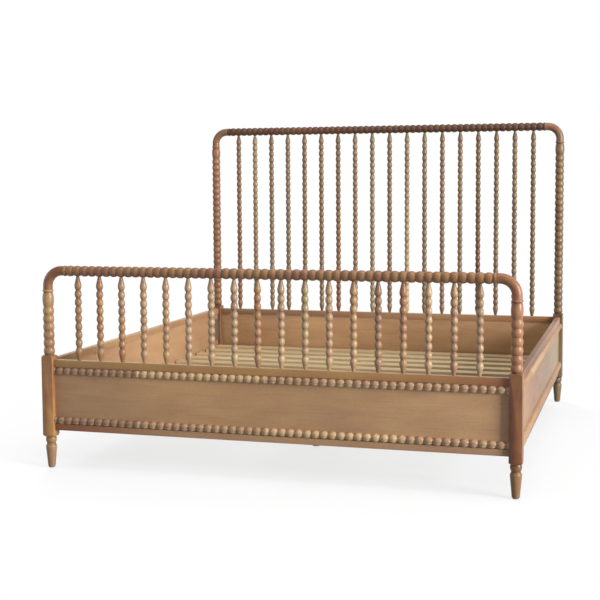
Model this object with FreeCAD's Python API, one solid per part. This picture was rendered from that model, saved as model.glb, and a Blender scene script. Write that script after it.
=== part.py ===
# A king-size spindle bed frame: bobbin-turned posts, top rails and spindles, panelled side rails
# and a slatted base. Millimetres, +Z up, origin on the floor under the middle of the bed,
# +Y towards the headboard and +X towards the right side rail as seen from the foot.

import FreeCAD
import Part
import math
import os

# Driving dimensions

# The king-size sleeping area that the frame is built round, and the room left beside it
sleeping_width = 1930.0
sleeping_length = 2032.0
side_room = 15.0
end_room = 11.5

# Flat rails and panels: both boards and both sides share one section
band_thickness = 25.0
rail_bottom_level = 165.0
bottom_band_height = 27.0
panel_opening_height = 247.0
spindle_rail_height = 31.0
panel_thickness = 14.5
tongue_thickness = 8.0
tongue_depth = 8.0
tenon_thickness = 10.0
tenon_length = 27.0
tenon_shoulder = 3.0
band_edge_easing = 1.5

# Corner posts
post_width = 52.0
post_edge_easing = 3.0
foot_height = 141.0
foot_tip_diameter = 32.0
foot_shoulder_diameter = 47.5
foot_shoulder_level = 92.0
foot_cove_diameter = 38.0
foot_cove_level = 106.0
foot_cove_lip = 1.7
foot_ring_diameter = 47.0
foot_ring_level = 124.0
foot_ring_height = 25.0
block_height = 342.5
block_shoulder_height = 5.0
block_corner_drop = 7.0

# Turned work on the posts
post_bobbin_pitch = 34.6
post_bobbin_diameter = 47.5
post_neck_diameter = 39.5
post_cove_radius = 2.6
footboard_post_bobbins = 6
headboard_post_bobbins = 25
barrel_height = 60.5
barrel_diameter = 48.5
barrel_crown_share = 0.55
barrel_top_diameter = 41.0
collar_groove_height = 3.5
collar_groove_depth = 1.5
collar_height = 10.0
collar_diameter = 47.5

# Elbows and top rails
elbow_diameter = 41.0
elbow_bend_radius = 66.0
elbow_upright_run = 15.0
elbow_level_run = 13.0
rail_bobbin_diameter = 46.0
rail_neck_diameter = 36.5
rail_cove_radius = 3.5
rail_end_ring_width = 10.0
rail_end_groove_width = 2.5
rail_end_ring_diameter = 45.0
rail_bobbins_per_spindle = 3
dowel_diameter = 10.0
dowel_depth = 24.0

# Spindles
spindle_count = 18
spindles_per_set = 6
spindle_bulb_diameter = 26.5
spindle_neck_diameter = 18.0
spindle_tip_diameter = 13.0
spindle_cove_radius = 4.0
spindle_pitch = 34.8
spindle_cone_length = 40.0
spindle_cone_rounding = 9.0
spindle_top_tenon = 14.0
spindle_bottom_tenon = 16.0

# Half-bobbin beading
beading_diameter = 33.0
beading_neck_diameter = 19.0
beading_cove_radius = 1.8
beading_pitch = 35.35
beading_stock_bobbins = 16
beading_first_length = 388.0
beading_upper_offset = 14.5
beading_lower_offset = 12.5

# Slatted base
ledger_thickness = 30.0
ledger_height = 43.0
ledger_screw_rise = 14.0
slat_count = 14
slat_width = 70.0
slat_thickness = 20.0
slat_end_room = 3.0
slat_board_room = 15.0
slat_edge_easing = 3.0
beam_width = 45.0
beam_height = 60.0
beam_end_room = 2.0
beam_spans = 3

# Centre legs and levellers
leg_width = 42.0
leg_clear_height = 26.0
leg_edge_easing = 3.0
dowel_screw_diameter = 8.0
dowel_screw_depth = 36.0
insert_diameter = 14.0
insert_length = 26.0
insert_flange_diameter = 24.0
insert_flange_thickness = 2.0
leveller_stem_diameter = 10.0
leveller_stem_length = 52.0
leveller_foot_diameter = 38.0
leveller_foot_height = 9.0
leveller_rim_height = 3.0
leveller_rim_chamfer = 1.5
leveller_boss_wall = 3.0
leveller_dome_fall = 1.8
leveller_spigot_depth = 6.0
leveller_travel = 12.0

# Rail fittings and hangers, bent and punched from sheet steel
plate_thickness = 3.0
hook_plate_width = 62.0
hook_plate_margin = 28.0
hook_screw_inset = 16.0
hook_height = 26.0
hook_reach = 13.0
hook_lip_drop = 9.0
catch_plate_width = 20.0
catch_plate_margin = 17.0
catch_pocket_room = 3.0
hanger_thickness = 2.5
hanger_seat_depth = 42.0
hanger_wing_width = 36.0
hanger_wing_height = 62.0
hanger_screw_inset = 15.0

# Screws and glides
screw_diameter = 4.0
screw_head_diameter = 8.0
plate_screw_length = 13.0
ledger_screw_length = 40.0
ledger_screw_count = 8
slat_screw_length = 38.0
glide_diameter = 26.0
glide_height = 6.0
glide_edge_easing = 2.0
glide_pin_diameter = 4.0
glide_pin_length = 16.0

# Clearances
fit_gap = 0.1
groove_gap = 0.2
blind_gap = 1.0
leveller_gap = 0.06
loose_gap = 0.5
hook_gap = 0.25

# Levels and places that follow from the sizes above

post_spacing_x = sleeping_width + 2 * side_room + band_thickness
post_spacing_y = sleeping_length + 2 * end_room + band_thickness
post_x = post_spacing_x / 2
post_y = post_spacing_y / 2
between_posts_x = post_spacing_x - post_width
between_posts_y = post_spacing_y - post_width

panel_bottom = rail_bottom_level + bottom_band_height
panel_top = panel_bottom + panel_opening_height
spindle_rail_top = panel_top + spindle_rail_height
upper_beading_level = panel_top - beading_diameter / 2
lower_beading_level = panel_bottom + beading_diameter / 2
panel_inside = panel_thickness / 2
band_inside = band_thickness / 2

block_top = foot_height + block_height
turning_start = block_top + block_shoulder_height
collar_total = collar_groove_height + collar_height
elbow_reach = elbow_bend_radius + elbow_level_run
rail_length = post_spacing_x - 2 * elbow_reach
rail_end_total = rail_end_ring_width + rail_end_groove_width
rail_bobbin_count = spindle_count * rail_bobbins_per_spindle
rail_bobbin_pitch = (rail_length - 2 * rail_end_total) / rail_bobbin_count
spindle_spacing = rail_bobbin_pitch * rail_bobbins_per_spindle

ledger_top = panel_bottom + ledger_height
slat_top = ledger_top + slat_thickness
slat_length = 2 * (post_x - band_inside - slat_end_room)
slat_run = post_spacing_y - band_thickness - 2 * slat_board_room - slat_width
slat_pitch = slat_run / (slat_count - 1)
beam_bottom = ledger_top - beam_height
hook_low = slat_top + hook_plate_margin
hook_high = panel_top - hook_plate_margin
catch_low = hook_low - hook_lip_drop - catch_plate_margin
catch_high = hook_high + hook_lip_drop + catch_plate_margin
hook_levels = (hook_low, hook_high - hook_height)
leg_places = [(index - beam_spans / 2) * post_spacing_y / beam_spans for index in range(1, beam_spans)]

X = FreeCAD.Vector(1, 0, 0)
Y = FreeCAD.Vector(0, 1, 0)
Z = FreeCAD.Vector(0, 0, 1)
ORIGIN = FreeCAD.Vector(0, 0, 0)
ANGLE_TOLERANCE = 0.001


def collar_top(bobbins):
    """Level of the joint between a post and its elbow."""
    return turning_start + bobbins * post_bobbin_pitch + barrel_height + collar_total


def rail_axis_level(bobbins):
    """Level of a board's top rail, one elbow above its posts' collars."""
    return collar_top(bobbins) + elbow_upright_run + elbow_bend_radius


# Turned work: outlines are drawn as (radius, level) and turned about the Z axis

def line(start, end):
    return Part.LineSegment(
        FreeCAD.Vector(start[0], 0, start[1]),
        FreeCAD.Vector(end[0], 0, end[1])).toShape()


def arc(start, middle, end):
    return Part.Arc(
        FreeCAD.Vector(start[0], 0, start[1]),
        FreeCAD.Vector(middle[0], 0, middle[1]),
        FreeCAD.Vector(end[0], 0, end[1])).toShape()


def crown_arc(crown, end):
    """Arc that leaves the crown along the axis and falls to the end point."""
    drop = crown[0] - end[0]
    run = end[1] - crown[1]
    radius = (run ** 2 + drop ** 2) / (2 * drop)
    half_angle = math.asin(run / radius) / 2
    middle = (crown[0] - radius * (1 - math.cos(half_angle)), crown[1] + radius * math.sin(half_angle))
    return arc(crown, middle, end)


def reversed_crown_arc(start, crown):
    """The same arc drawn up to its crown."""
    drop = crown[0] - start[0]
    run = crown[1] - start[1]
    radius = (run ** 2 + drop ** 2) / (2 * drop)
    half_angle = math.asin(run / radius) / 2
    middle = (crown[0] - radius * (1 - math.cos(half_angle)), crown[1] - radius * math.sin(half_angle))
    return arc(start, middle, crown)


def flow_point(pitch, crown, neck, cove):
    """Where a bobbin's round back runs into the cove: its radius, and its distance from the crown."""
    rise = crown - neck
    both_radii = ((pitch / 2) ** 2 + rise ** 2) / (2 * rise)
    back = both_radii - cove
    share = back / both_radii
    return crown - back + (both_radii - rise) * share, pitch / 2 * share


def bobbin_row(start, pitch, count, crown, neck, cove):
    """Bobbins and the coves between them, from the first bobbin's foot to the last one's shoulder."""
    flow_radius, flow_reach = flow_point(pitch, crown, neck, cove)
    edges = []
    for index in range(count):
        middle = start + (index + 0.5) * pitch
        foot = (flow_radius, middle - flow_reach)
        shoulder = (flow_radius, middle + flow_reach)
        edges.append(arc(foot, (crown, middle), shoulder))
        if index < count - 1:
            next_foot = (flow_radius, middle + pitch - flow_reach)
            edges.append(arc(shoulder, (neck, middle + pitch / 2), next_foot))
    return edges


def row_end(start, pitch, crown, neck, cove):
    """The foot of the first bobbin of a row, where a half cove from the row's start arrives."""
    flow_radius, flow_reach = flow_point(pitch, crown, neck, cove)
    return flow_radius, start + pitch / 2 - flow_reach


def half_cove(neck_point, flow, cove):
    """Quarter of a cove, from the bottom of the neck to a bobbin's foot or shoulder."""
    side = 1 if flow[1] > neck_point[1] else -1
    centre = (neck_point[0] + cove, neck_point[1])
    half_angle = math.atan2(abs(flow[1] - centre[1]), centre[0] - flow[0]) / 2
    middle = (centre[0] - cove * math.cos(half_angle), centre[1] + side * cove * math.sin(half_angle))
    if side > 0:
        return arc(neck_point, middle, flow)
    return arc(flow, middle, neck_point)


def turned(edges, angle=360.0):
    """Close an outline on the axis and turn it."""
    points = [edges[0].Vertexes[0].Point, edges[-1].Vertexes[-1].Point]
    start = (points[0].x, points[0].z)
    end = (points[1].x, points[1].z)
    closing = [line((0, start[1]), start), line(end, (0, end[1])), line((0, end[1]), (0, start[1]))]
    wire = Part.Wire(Part.__sortEdges__(edges + closing))
    return Part.Face(wire).revolve(ORIGIN, Z, angle)


def along_x(shape):
    """Lay a piece that was turned about Z along X."""
    laid = shape.copy()
    laid.rotate(ORIGIN, Y, 90)
    return laid


def moved(shape, x=0.0, y=0.0, z=0.0):
    copy = shape.copy()
    copy.translate(FreeCAD.Vector(x, y, z))
    return copy


def turned_about_z(shape, degrees):
    copy = shape.copy()
    copy.rotate(ORIGIN, Z, degrees)
    return copy


def mirrored_x(shape):
    return shape.mirror(ORIGIN, X)


# Box work

def box(x_span, y_span, z_span):
    """A box from its low and high values along each axis."""
    low = FreeCAD.Vector(x_span[0], y_span[0], z_span[0])
    return Part.makeBox(x_span[1] - x_span[0], y_span[1] - y_span[0], z_span[1] - z_span[0], low)


def around(centre, width):
    return centre - width / 2, centre + width / 2


def eased(shape, radius, direction):
    """Round the long edges that run along one axis."""
    edges = []
    for edge in shape.Edges:
        tangent = edge.tangentAt(edge.FirstParameter)
        if tangent.isEqual(direction, ANGLE_TOLERANCE) or tangent.isEqual(-direction, ANGLE_TOLERANCE):
            edges.append(edge)
    return shape.makeFillet(radius, edges)


def cylinder(centre, direction, diameter, length):
    """A cylinder that starts at the centre point and runs along the direction."""
    return Part.makeCylinder(diameter / 2, length, centre, direction)


def cut_all(shape, tools):
    return shape.cut(Part.makeCompound(tools))


def joined(shapes):
    """Fuse overlapping or touching shapes to one clean solid."""
    return shapes[0].multiFuse(shapes[1:]).removeSplitter()


def screw(head, direction, length):
    """Countersunk screw whose flat head lies at the head point."""
    head_radius = screw_head_diameter / 2
    shank_radius = screw_diameter / 2
    depth = head_radius - shank_radius
    cone = Part.makeCone(head_radius, shank_radius, depth, head, direction)
    shank = Part.makeCylinder(shank_radius, length - depth, head + direction * depth, direction)
    return joined([cone, shank])


def screw_hole(head, direction, length):
    """The countersunk hole that a screw fills, with its fitting gap."""
    head_radius = screw_head_diameter / 2 + fit_gap
    shank_radius = screw_diameter / 2 + fit_gap
    depth = head_radius - shank_radius
    cone = Part.makeCone(head_radius, shank_radius, depth, head, direction)
    reach = length - depth + blind_gap
    shank = Part.makeCylinder(shank_radius, reach, head + direction * depth, direction)
    return joined([cone, shank])


# Posts

def foot_outline():
    """Tapered foot, cove and ring, from the glide up to the square block."""
    tip = foot_tip_diameter / 2
    shoulder = foot_shoulder_diameter / 2
    cove = foot_cove_diameter / 2
    ring = foot_ring_diameter / 2
    ring_low = foot_ring_level - foot_ring_height / 2
    ring_high = foot_ring_level + foot_ring_height / 2
    cove_lip = cove + foot_cove_lip
    cove_half = ring_low - foot_cove_level
    neck = post_neck_diameter / 2
    return [
        line((tip, glide_height), (shoulder, foot_shoulder_level)),
        crown_arc((shoulder, foot_shoulder_level), (cove_lip, foot_cove_level - cove_half)),
        arc((cove_lip, foot_cove_level - cove_half), (cove, foot_cove_level), (cove_lip, ring_low)),
        arc((cove_lip, ring_low), (ring, foot_ring_level), (neck, ring_high)),
        line((neck, ring_high), (neck, foot_height)),
    ]


def shaft_outline(bobbins):
    """Turned upper part of a post, from the block's shoulder to the collar's flat top."""
    neck = post_neck_diameter / 2
    bobbin_shape = (post_bobbin_pitch, post_bobbin_diameter / 2, neck, post_cove_radius)
    first_foot = row_end(turning_start, *bobbin_shape)
    row_top = turning_start + bobbins * post_bobbin_pitch
    last_shoulder = (first_foot[0], row_top - (first_foot[1] - turning_start))
    crown = (barrel_diameter / 2, row_top + barrel_height * barrel_crown_share)
    barrel_top = (barrel_top_diameter / 2, row_top + barrel_height)
    groove_middle = (barrel_top[0] - collar_groove_depth, barrel_top[1] + collar_groove_height / 2)
    ring_foot = (barrel_top[0], barrel_top[1] + collar_groove_height)
    ring_middle = (collar_diameter / 2, ring_foot[1] + collar_height / 2)
    ring_top = (elbow_diameter / 2 + loose_gap, ring_foot[1] + collar_height)
    return [
        line((neck, block_top), (neck, turning_start)),
        half_cove((neck, turning_start), first_foot, post_cove_radius),
        *bobbin_row(turning_start, post_bobbin_pitch, bobbins, *bobbin_shape[1:]),
        half_cove((neck, row_top), last_shoulder, post_cove_radius),
        reversed_crown_arc((neck, row_top), crown),
        crown_arc(crown, barrel_top),
        arc(barrel_top, groove_middle, ring_foot),
        arc(ring_foot, ring_middle, ring_top),
    ]


def post_block():
    """Square block whose corners the lathe has rounded off at both ends."""
    low = foot_height - block_shoulder_height / 2
    square = box(around(0, post_width), around(0, post_width), (low, turning_start))
    square = eased(square, post_edge_easing, Z)
    corner = post_width / math.sqrt(2) + loose_gap
    neck = post_neck_diameter / 2
    bulge = (corner + neck) / 2 + block_shoulder_height
    lathe_outline = [
        arc((neck, low), (bulge, foot_height), (corner, foot_height + block_corner_drop)),
        line((corner, foot_height + block_corner_drop), (corner, block_top - block_corner_drop)),
        arc((corner, block_top - block_corner_drop), (bulge, block_top), (neck, turning_start)),
    ]
    return square.common(turned(lathe_outline))


def catch_pocket():
    """Room in a post's face for the flush catch plate and the hooks behind it, at y = half a post."""
    face = post_width / 2
    plate = box(
        around(hook_inset(), catch_plate_width + 2 * groove_gap),
        (face - plate_thickness, face + blind_gap),
        (catch_low - groove_gap, catch_high + groove_gap))
    room = box(
        around(hook_inset(), plate_thickness + 2 * catch_pocket_room),
        (face - hook_reach - catch_pocket_room, face),
        (hook_low - hook_lip_drop - catch_pocket_room, hook_high + hook_lip_drop + catch_pocket_room))
    return [plate, room]


def hook_inset():
    """Distance of the hook plates' middle from the post's axis, towards the bed's middle."""
    return -(panel_inside + plate_thickness / 2)


def catch_screw_levels():
    return catch_low + catch_plate_margin / 2, catch_high - catch_plate_margin / 2


def post(bobbins):
    """A right-hand post, turned about its own axis: inner face to -X, side rail face to +Y."""
    solid = joined([turned(foot_outline()), post_block(), turned(shaft_outline(bobbins))])
    face = post_width / 2
    groove_depth = tongue_depth + blind_gap
    groove = box(
        (-face - blind_gap, -face + groove_depth),
        around(0, tongue_thickness + 2 * groove_gap),
        (panel_bottom - groove_depth, panel_top + groove_depth))
    mortises = []
    for low, high in tenon_spans():
        mortises.append(box(
            (-face - blind_gap, -face + tenon_length + blind_gap),
            around(0, tenon_thickness + 2 * fit_gap),
            (low - fit_gap, high + fit_gap)))
    dowel = cylinder(
        FreeCAD.Vector(0, 0, collar_top(bobbins) - dowel_depth - blind_gap), Z,
        dowel_diameter + 2 * fit_gap, dowel_depth + 2 * blind_gap)
    pin = cylinder(
        FreeCAD.Vector(0, 0, 0), Z,
        glide_pin_diameter + 2 * fit_gap, glide_height + glide_pin_length + blind_gap)
    screws = []
    for level in catch_screw_levels():
        head = FreeCAD.Vector(hook_inset(), face, level)
        screws.append(screw_hole(head, -Y, plate_screw_length))
    return cut_all(solid, [groove, *mortises, dowel, pin, *catch_pocket(), *screws])


def tenon_spans():
    """Levels of the tenons of the bottom rail and of the spindle rail, clear of the panel's groove."""
    groove_depth = tongue_depth + blind_gap
    return (
        (rail_bottom_level + tenon_shoulder, panel_bottom - groove_depth - blind_gap),
        (panel_top + groove_depth + blind_gap, spindle_rail_top - tenon_shoulder))


# Boards

def elbow(bobbins):
    """Quarter bend with two straight runs, from a right-hand post's collar to the top rail's end."""
    start = collar_top(bobbins)
    turn = start + elbow_upright_run
    axis = rail_axis_level(bobbins)
    disc = Part.Face(Part.Wire(Part.makeCircle(elbow_diameter / 2, FreeCAD.Vector(0, 0, turn), Z)))
    bend = disc.revolve(FreeCAD.Vector(-elbow_bend_radius, 0, turn), -Y, 90)
    upright = cylinder(FreeCAD.Vector(0, 0, start), Z, elbow_diameter, elbow_upright_run)
    level = cylinder(FreeCAD.Vector(-elbow_bend_radius, 0, axis), -X, elbow_diameter, elbow_level_run)
    bore = dowel_diameter + 2 * fit_gap
    depth = dowel_depth + 2 * blind_gap
    end = FreeCAD.Vector(-elbow_reach - blind_gap, 0, axis)
    bores = [
        cylinder(FreeCAD.Vector(0, 0, start - blind_gap), Z, bore, depth),
        cylinder(end, X, bore, depth)]
    return cut_all(joined([bend, upright, level]), bores)


def dowels(bobbins):
    """The two dowels of a right-hand elbow, about the post's axis."""
    start = collar_top(bobbins)
    length = 2 * (dowel_depth - blind_gap)
    upright = cylinder(FreeCAD.Vector(0, 0, start - length / 2), Z, dowel_diameter, length)
    end = FreeCAD.Vector(-elbow_reach - length / 2, 0, rail_axis_level(bobbins))
    return [upright, cylinder(end, X, dowel_diameter, length)]


def spindle_places():
    middle = (spindle_count - 1) / 2
    return [(index - middle) * spindle_spacing for index in range(spindle_count)]


def top_rail():
    """Bobbin-turned rail along X, about its own axis, with its spindle and dowel holes."""
    neck = rail_neck_diameter / 2
    ring = rail_end_ring_diameter / 2
    face = elbow_diameter / 2 + loose_gap
    half = rail_length / 2
    row_start = rail_end_total - half
    shape = (rail_bobbin_pitch, rail_bobbin_diameter / 2, neck, rail_cove_radius)
    first_foot = row_end(row_start, *shape)
    ring_high = (face, rail_end_ring_width - half)
    groove = (neck, (ring_high[1] + first_foot[1]) / 2)
    edges = [
        arc((face, -half), (ring, -half + rail_end_ring_width / 2), ring_high),
        arc(ring_high, groove, first_foot),
        *bobbin_row(row_start, rail_bobbin_pitch, rail_bobbin_count, *shape[1:]),
        arc((first_foot[0], -first_foot[1]), (groove[0], -groove[1]), (face, -ring_high[1])),
        arc((face, -ring_high[1]), (ring, half - rail_end_ring_width / 2), (face, half)),
    ]
    rail = along_x(turned(edges))
    tools = []
    depth = rail_bobbin_diameter / 2
    for place in spindle_places():
        tools.append(cylinder(
            FreeCAD.Vector(place, 0, -depth - blind_gap), Z,
            spindle_tip_diameter + 2 * fit_gap, spindle_top_tenon + 2 * blind_gap))
    bore = dowel_diameter + 2 * fit_gap
    tools.append(cylinder(FreeCAD.Vector(-half - blind_gap, 0, 0), X, bore, dowel_depth + 2 * blind_gap))
    tools.append(cylinder(FreeCAD.Vector(half + blind_gap, 0, 0), -X, bore, dowel_depth + 2 * blind_gap))
    return cut_all(rail, tools)


def spindle(bobbins):
    """A spindle that stands on the Z axis, with a straight taper and a tenon at each end."""
    tip = spindle_tip_diameter / 2
    bulb = spindle_bulb_diameter / 2
    neck = spindle_neck_diameter / 2
    low = spindle_rail_top
    high = rail_axis_level(bobbins) - rail_bobbin_diameter / 2
    steps = round((high - low - 2 * spindle_cone_length) / spindle_pitch)
    cone = (high - low - steps * spindle_pitch) / 2
    first = low + cone
    last = high - cone
    slope = (bulb - tip) / (cone - spindle_cone_rounding / 2)
    flare = bulb - slope * spindle_cone_rounding / 2
    flare_low = (flare, first - spindle_cone_rounding)
    flare_high = (flare, last + spindle_cone_rounding)
    flow_radius, flow_reach = flow_point(spindle_pitch, bulb, neck, spindle_cove_radius)
    first_shoulder = (flow_radius, first + flow_reach)
    second_foot = (flow_radius, first + spindle_pitch - flow_reach)
    last_foot = (flow_radius, last - flow_reach)
    shoulder_before = (flow_radius, last - spindle_pitch + flow_reach)
    row = bobbin_row(
        first + spindle_pitch / 2, spindle_pitch, steps - 1, bulb, neck, spindle_cove_radius)
    edges = [
        line((tip, low - spindle_bottom_tenon), (tip, low)),
        line((tip, low), flare_low),
        reversed_crown_arc(flare_low, (bulb, first)),
        crown_arc((bulb, first), first_shoulder),
        arc(first_shoulder, (neck, first + spindle_pitch / 2), second_foot),
        *row,
        arc(shoulder_before, (neck, last - spindle_pitch / 2), last_foot),
        reversed_crown_arc(last_foot, (bulb, last)),
        crown_arc((bulb, last), flare_high),
        line(flare_high, (tip, high)),
        line((tip, high), (tip, high + spindle_top_tenon)),
    ]
    return turned(edges)


def flat_band(length, low, high, groove_side, tenons=()):
    """A flat rail along X with a groove for the panel in its top (+1) or bottom (-1) edge."""
    band = box(around(0, length), around(0, band_thickness), (low, high))
    band = eased(band, band_edge_easing, X)
    groove_depth = tongue_depth + blind_gap
    edge = high if groove_side > 0 else low
    groove = box(
        around(0, length + 2 * blind_gap),
        around(0, tongue_thickness + 2 * groove_gap),
        (min(edge, edge - groove_side * groove_depth), max(edge, edge - groove_side * groove_depth)))
    band = band.cut(groove)
    for tenon_low, tenon_high in tenons:
        tenon = box(
            around(0, length + 2 * tenon_length),
            around(0, tenon_thickness),
            (tenon_low, tenon_high))
        band = joined([band, tenon])
    return band


def board_bottom_rail():
    return flat_band(between_posts_x, rail_bottom_level, panel_bottom, 1, tenon_spans()[:1])


def spindle_rail():
    """The flat rail that carries the spindles of a board."""
    rail = flat_band(between_posts_x, panel_top, spindle_rail_top, -1, tenon_spans()[1:])
    depth = spindle_bottom_tenon + blind_gap
    holes = []
    for place in spindle_places():
        start = FreeCAD.Vector(place, 0, spindle_rail_top - depth)
        holes.append(cylinder(start, Z, spindle_tip_diameter + 2 * fit_gap, depth + blind_gap))
    return cut_all(rail, holes)


def panel(length, end_tongues):
    """A panel along X, with tongues along its top and bottom edges and, in a board, at its ends."""
    field = box(around(0, length), around(0, panel_thickness), (panel_bottom, panel_top))
    tongue_length = length + 2 * tongue_depth if end_tongues else length
    tongue = box(
        around(0, tongue_length),
        around(0, tongue_thickness),
        (panel_bottom - tongue_depth, panel_top + tongue_depth))
    return joined([field, tongue])


def beading(length, offset, level):
    """Half-bobbin strip along X on the face y = -panel_inside, cut from stock and butted together."""
    pieces = []
    stock = beading_stock_bobbins * beading_pitch
    end = length / 2
    start = end - offset - beading_pitch * math.ceil((length - offset) / beading_pitch)
    count = math.ceil((end - start) / beading_pitch)
    edges = bobbin_row(
        start - beading_pitch, beading_pitch, count + 2,
        beading_diameter / 2, beading_neck_diameter / 2, beading_cove_radius)
    strip = along_x(turned(edges, 180.0))
    strip.rotate(ORIGIN, X, beading_turn(strip))
    cut_from = -end
    cut_to = beading_first_length - end
    across = (-beading_diameter, beading_diameter)
    while cut_from < end:
        piece = strip.common(box((cut_from, min(cut_to, end)), across, across))
        pieces.append(moved(piece, 0, -panel_inside, level))
        cut_from = cut_to
        cut_to = cut_from + stock
    return pieces


def beading_turn(strip):
    """Angle about X that turns a half strip so that its round side faces -Y."""
    centre = strip.CenterOfMass
    return math.degrees(math.atan2(0.0, -1.0) - math.atan2(centre.z, centre.y))


# Side rails, built along X and then turned to run along Y

def screws_along_ledger():
    spacing = between_posts_y / ledger_screw_count
    return [(index - (ledger_screw_count - 1) / 2) * spacing for index in range(ledger_screw_count)]


def slat_places():
    return [(index - (slat_count - 1) / 2) * slat_pitch for index in range(slat_count)]


def slat_screw_x():
    """Distance of the outer slat screws from the middle of the bed: halfway over the ledger's bearing."""
    ledger_inside = post_x - panel_inside - ledger_thickness
    return (slat_length / 2 + ledger_inside) / 2


def hook_plate_screw_places():
    """Places of a hook plate's four screws: distance from the rail's end, and level."""
    insets = (hook_screw_inset, hook_plate_width - hook_screw_inset)
    levels = (hook_low + hook_screw_inset, hook_high - hook_screw_inset)
    return [(inset, level) for inset in insets for level in levels]


def side_panel():
    """Panel of a side rail, along X with its inner face at +Y, drilled for plates and ledger."""
    solid = panel(between_posts_y, False)
    tools = []
    for end in (-1, 1):
        for inset, level in hook_plate_screw_places():
            place = end * (between_posts_y / 2 - inset)
            head = FreeCAD.Vector(place, panel_inside + plate_thickness, level)
            tools.append(screw_hole(head, -Y, plate_screw_length))
    for place in screws_along_ledger():
        head = FreeCAD.Vector(place, panel_inside + ledger_thickness, panel_bottom + ledger_screw_rise)
        tools.append(screw_hole(head, -Y, ledger_screw_length))
    return cut_all(solid, tools)


def ledger():
    """Strip on the inner face of a side panel that carries the slats, along X."""
    strip = box(
        around(0, between_posts_y),
        (panel_inside, panel_inside + ledger_thickness),
        (panel_bottom, ledger_top))
    tools = []
    for place in screws_along_ledger():
        head = FreeCAD.Vector(place, panel_inside + ledger_thickness, panel_bottom + ledger_screw_rise)
        tools.append(screw_hole(head, -Y, ledger_screw_length))
    for place in slat_places():
        head = FreeCAD.Vector(place, post_x - slat_screw_x(), slat_top)
        tools.append(screw_hole(head, -Z, slat_screw_length))
    return cut_all(strip, tools)


def ledger_screws():
    level = panel_bottom + ledger_screw_rise
    return [screw(FreeCAD.Vector(place, panel_inside + ledger_thickness, level), -Y, ledger_screw_length)
            for place in screws_along_ledger()]


def hook_plate():
    """Flat plate on the panel's inner face with two hooks that reach past the rail's +X end."""
    end = between_posts_y / 2
    inner = (panel_inside, panel_inside + plate_thickness)
    pieces = [box((end - hook_plate_width, end), inner, (hook_low, hook_high))]
    for low in hook_levels:
        pieces.append(box((end, end + hook_reach), inner, (low, low + hook_height)))
        lip_start = end + plate_thickness + hook_gap
        pieces.append(box((lip_start, end + hook_reach), inner, (low - hook_lip_drop, low)))
    plate = joined(pieces)
    tools = []
    for inset, level in hook_plate_screw_places():
        head = FreeCAD.Vector(end - inset, panel_inside + plate_thickness, level)
        tools.append(screw_hole(head, -Y, plate_screw_length))
    return cut_all(plate, tools)


def hook_plate_screws():
    end = between_posts_y / 2
    return [screw(FreeCAD.Vector(end - inset, panel_inside + plate_thickness, level), -Y, plate_screw_length)
            for inset, level in hook_plate_screw_places()]


def catch_plate():
    """Flush plate in a right-hand post's +Y face, slotted for the hooks, about the post's axis."""
    face = post_width / 2
    plate = box(
        around(hook_inset(), catch_plate_width),
        (face - plate_thickness, face),
        (catch_low, catch_high))
    tools = []
    for low in hook_levels:
        tools.append(box(
            around(hook_inset(), plate_thickness + 2 * hook_gap),
            (face - 2 * plate_thickness, face + blind_gap),
            (low - hook_gap, low + hook_height + hook_lip_drop + hook_gap)))
    for level in catch_screw_levels():
        head = FreeCAD.Vector(hook_inset(), face, level)
        tools.append(screw_hole(head, -Y, plate_screw_length))
    return cut_all(plate, tools)


def catch_screws():
    face = post_width / 2
    return [screw(FreeCAD.Vector(hook_inset(), face, level), -Y, plate_screw_length)
            for level in catch_screw_levels()]


# Slatted base

def slat_screw_places(y):
    outer = slat_screw_x()
    return [FreeCAD.Vector(x, y, slat_top) for x in (-outer, 0.0, outer)]


def slat(y):
    board = box(around(0, slat_length), around(y, slat_width), (ledger_top, slat_top))
    board = eased(board, slat_edge_easing, X)
    return cut_all(board, [screw_hole(head, -Z, slat_screw_length) for head in slat_screw_places(y)])


def beam_half_length():
    return post_y - band_inside - beam_end_room


def centre_beam():
    """Beam under the slats, drilled for the slat screws and the dowel screws of its legs."""
    beam = box(around(0, beam_width), around(0, 2 * beam_half_length()), (beam_bottom, ledger_top))
    tools = []
    for y in slat_places():
        tools.append(screw_hole(FreeCAD.Vector(0, y, slat_top), -Z, slat_screw_length))
    for y in leg_places:
        tools.append(dowel_screw_hole(y))
    return cut_all(beam, tools)


def dowel_screw_hole(y):
    reach = dowel_screw_depth + blind_gap
    start = FreeCAD.Vector(0, y, beam_bottom - reach)
    return cylinder(start, Z, dowel_screw_diameter + 2 * fit_gap, 2 * reach)


def dowel_screw(y):
    start = FreeCAD.Vector(0, y, beam_bottom - dowel_screw_depth)
    return cylinder(start, Z, dowel_screw_diameter, 2 * dowel_screw_depth)


def centre_leg(y):
    """Square leg under the beam, bored from below for the insert and the leveller's stem."""
    leg = box(around(0, leg_width), around(y, leg_width), (leg_clear_height, beam_bottom))
    leg = eased(leg, leg_edge_easing, Z)
    bottom = FreeCAD.Vector(0, y, leg_clear_height - blind_gap)
    barrel = cylinder(bottom, Z, insert_diameter + 2 * fit_gap, insert_length + 2 * blind_gap)
    flange = cylinder(bottom, Z, insert_flange_diameter + 2 * fit_gap, insert_flange_thickness + blind_gap)
    stem_reach = leveller_foot_height + leveller_stem_length + leveller_travel - leg_clear_height
    stem = cylinder(bottom, Z, leveller_stem_diameter + 2 * loose_gap, stem_reach + 2 * blind_gap)
    return cut_all(leg, [barrel, flange, stem, dowel_screw_hole(y)])


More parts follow.
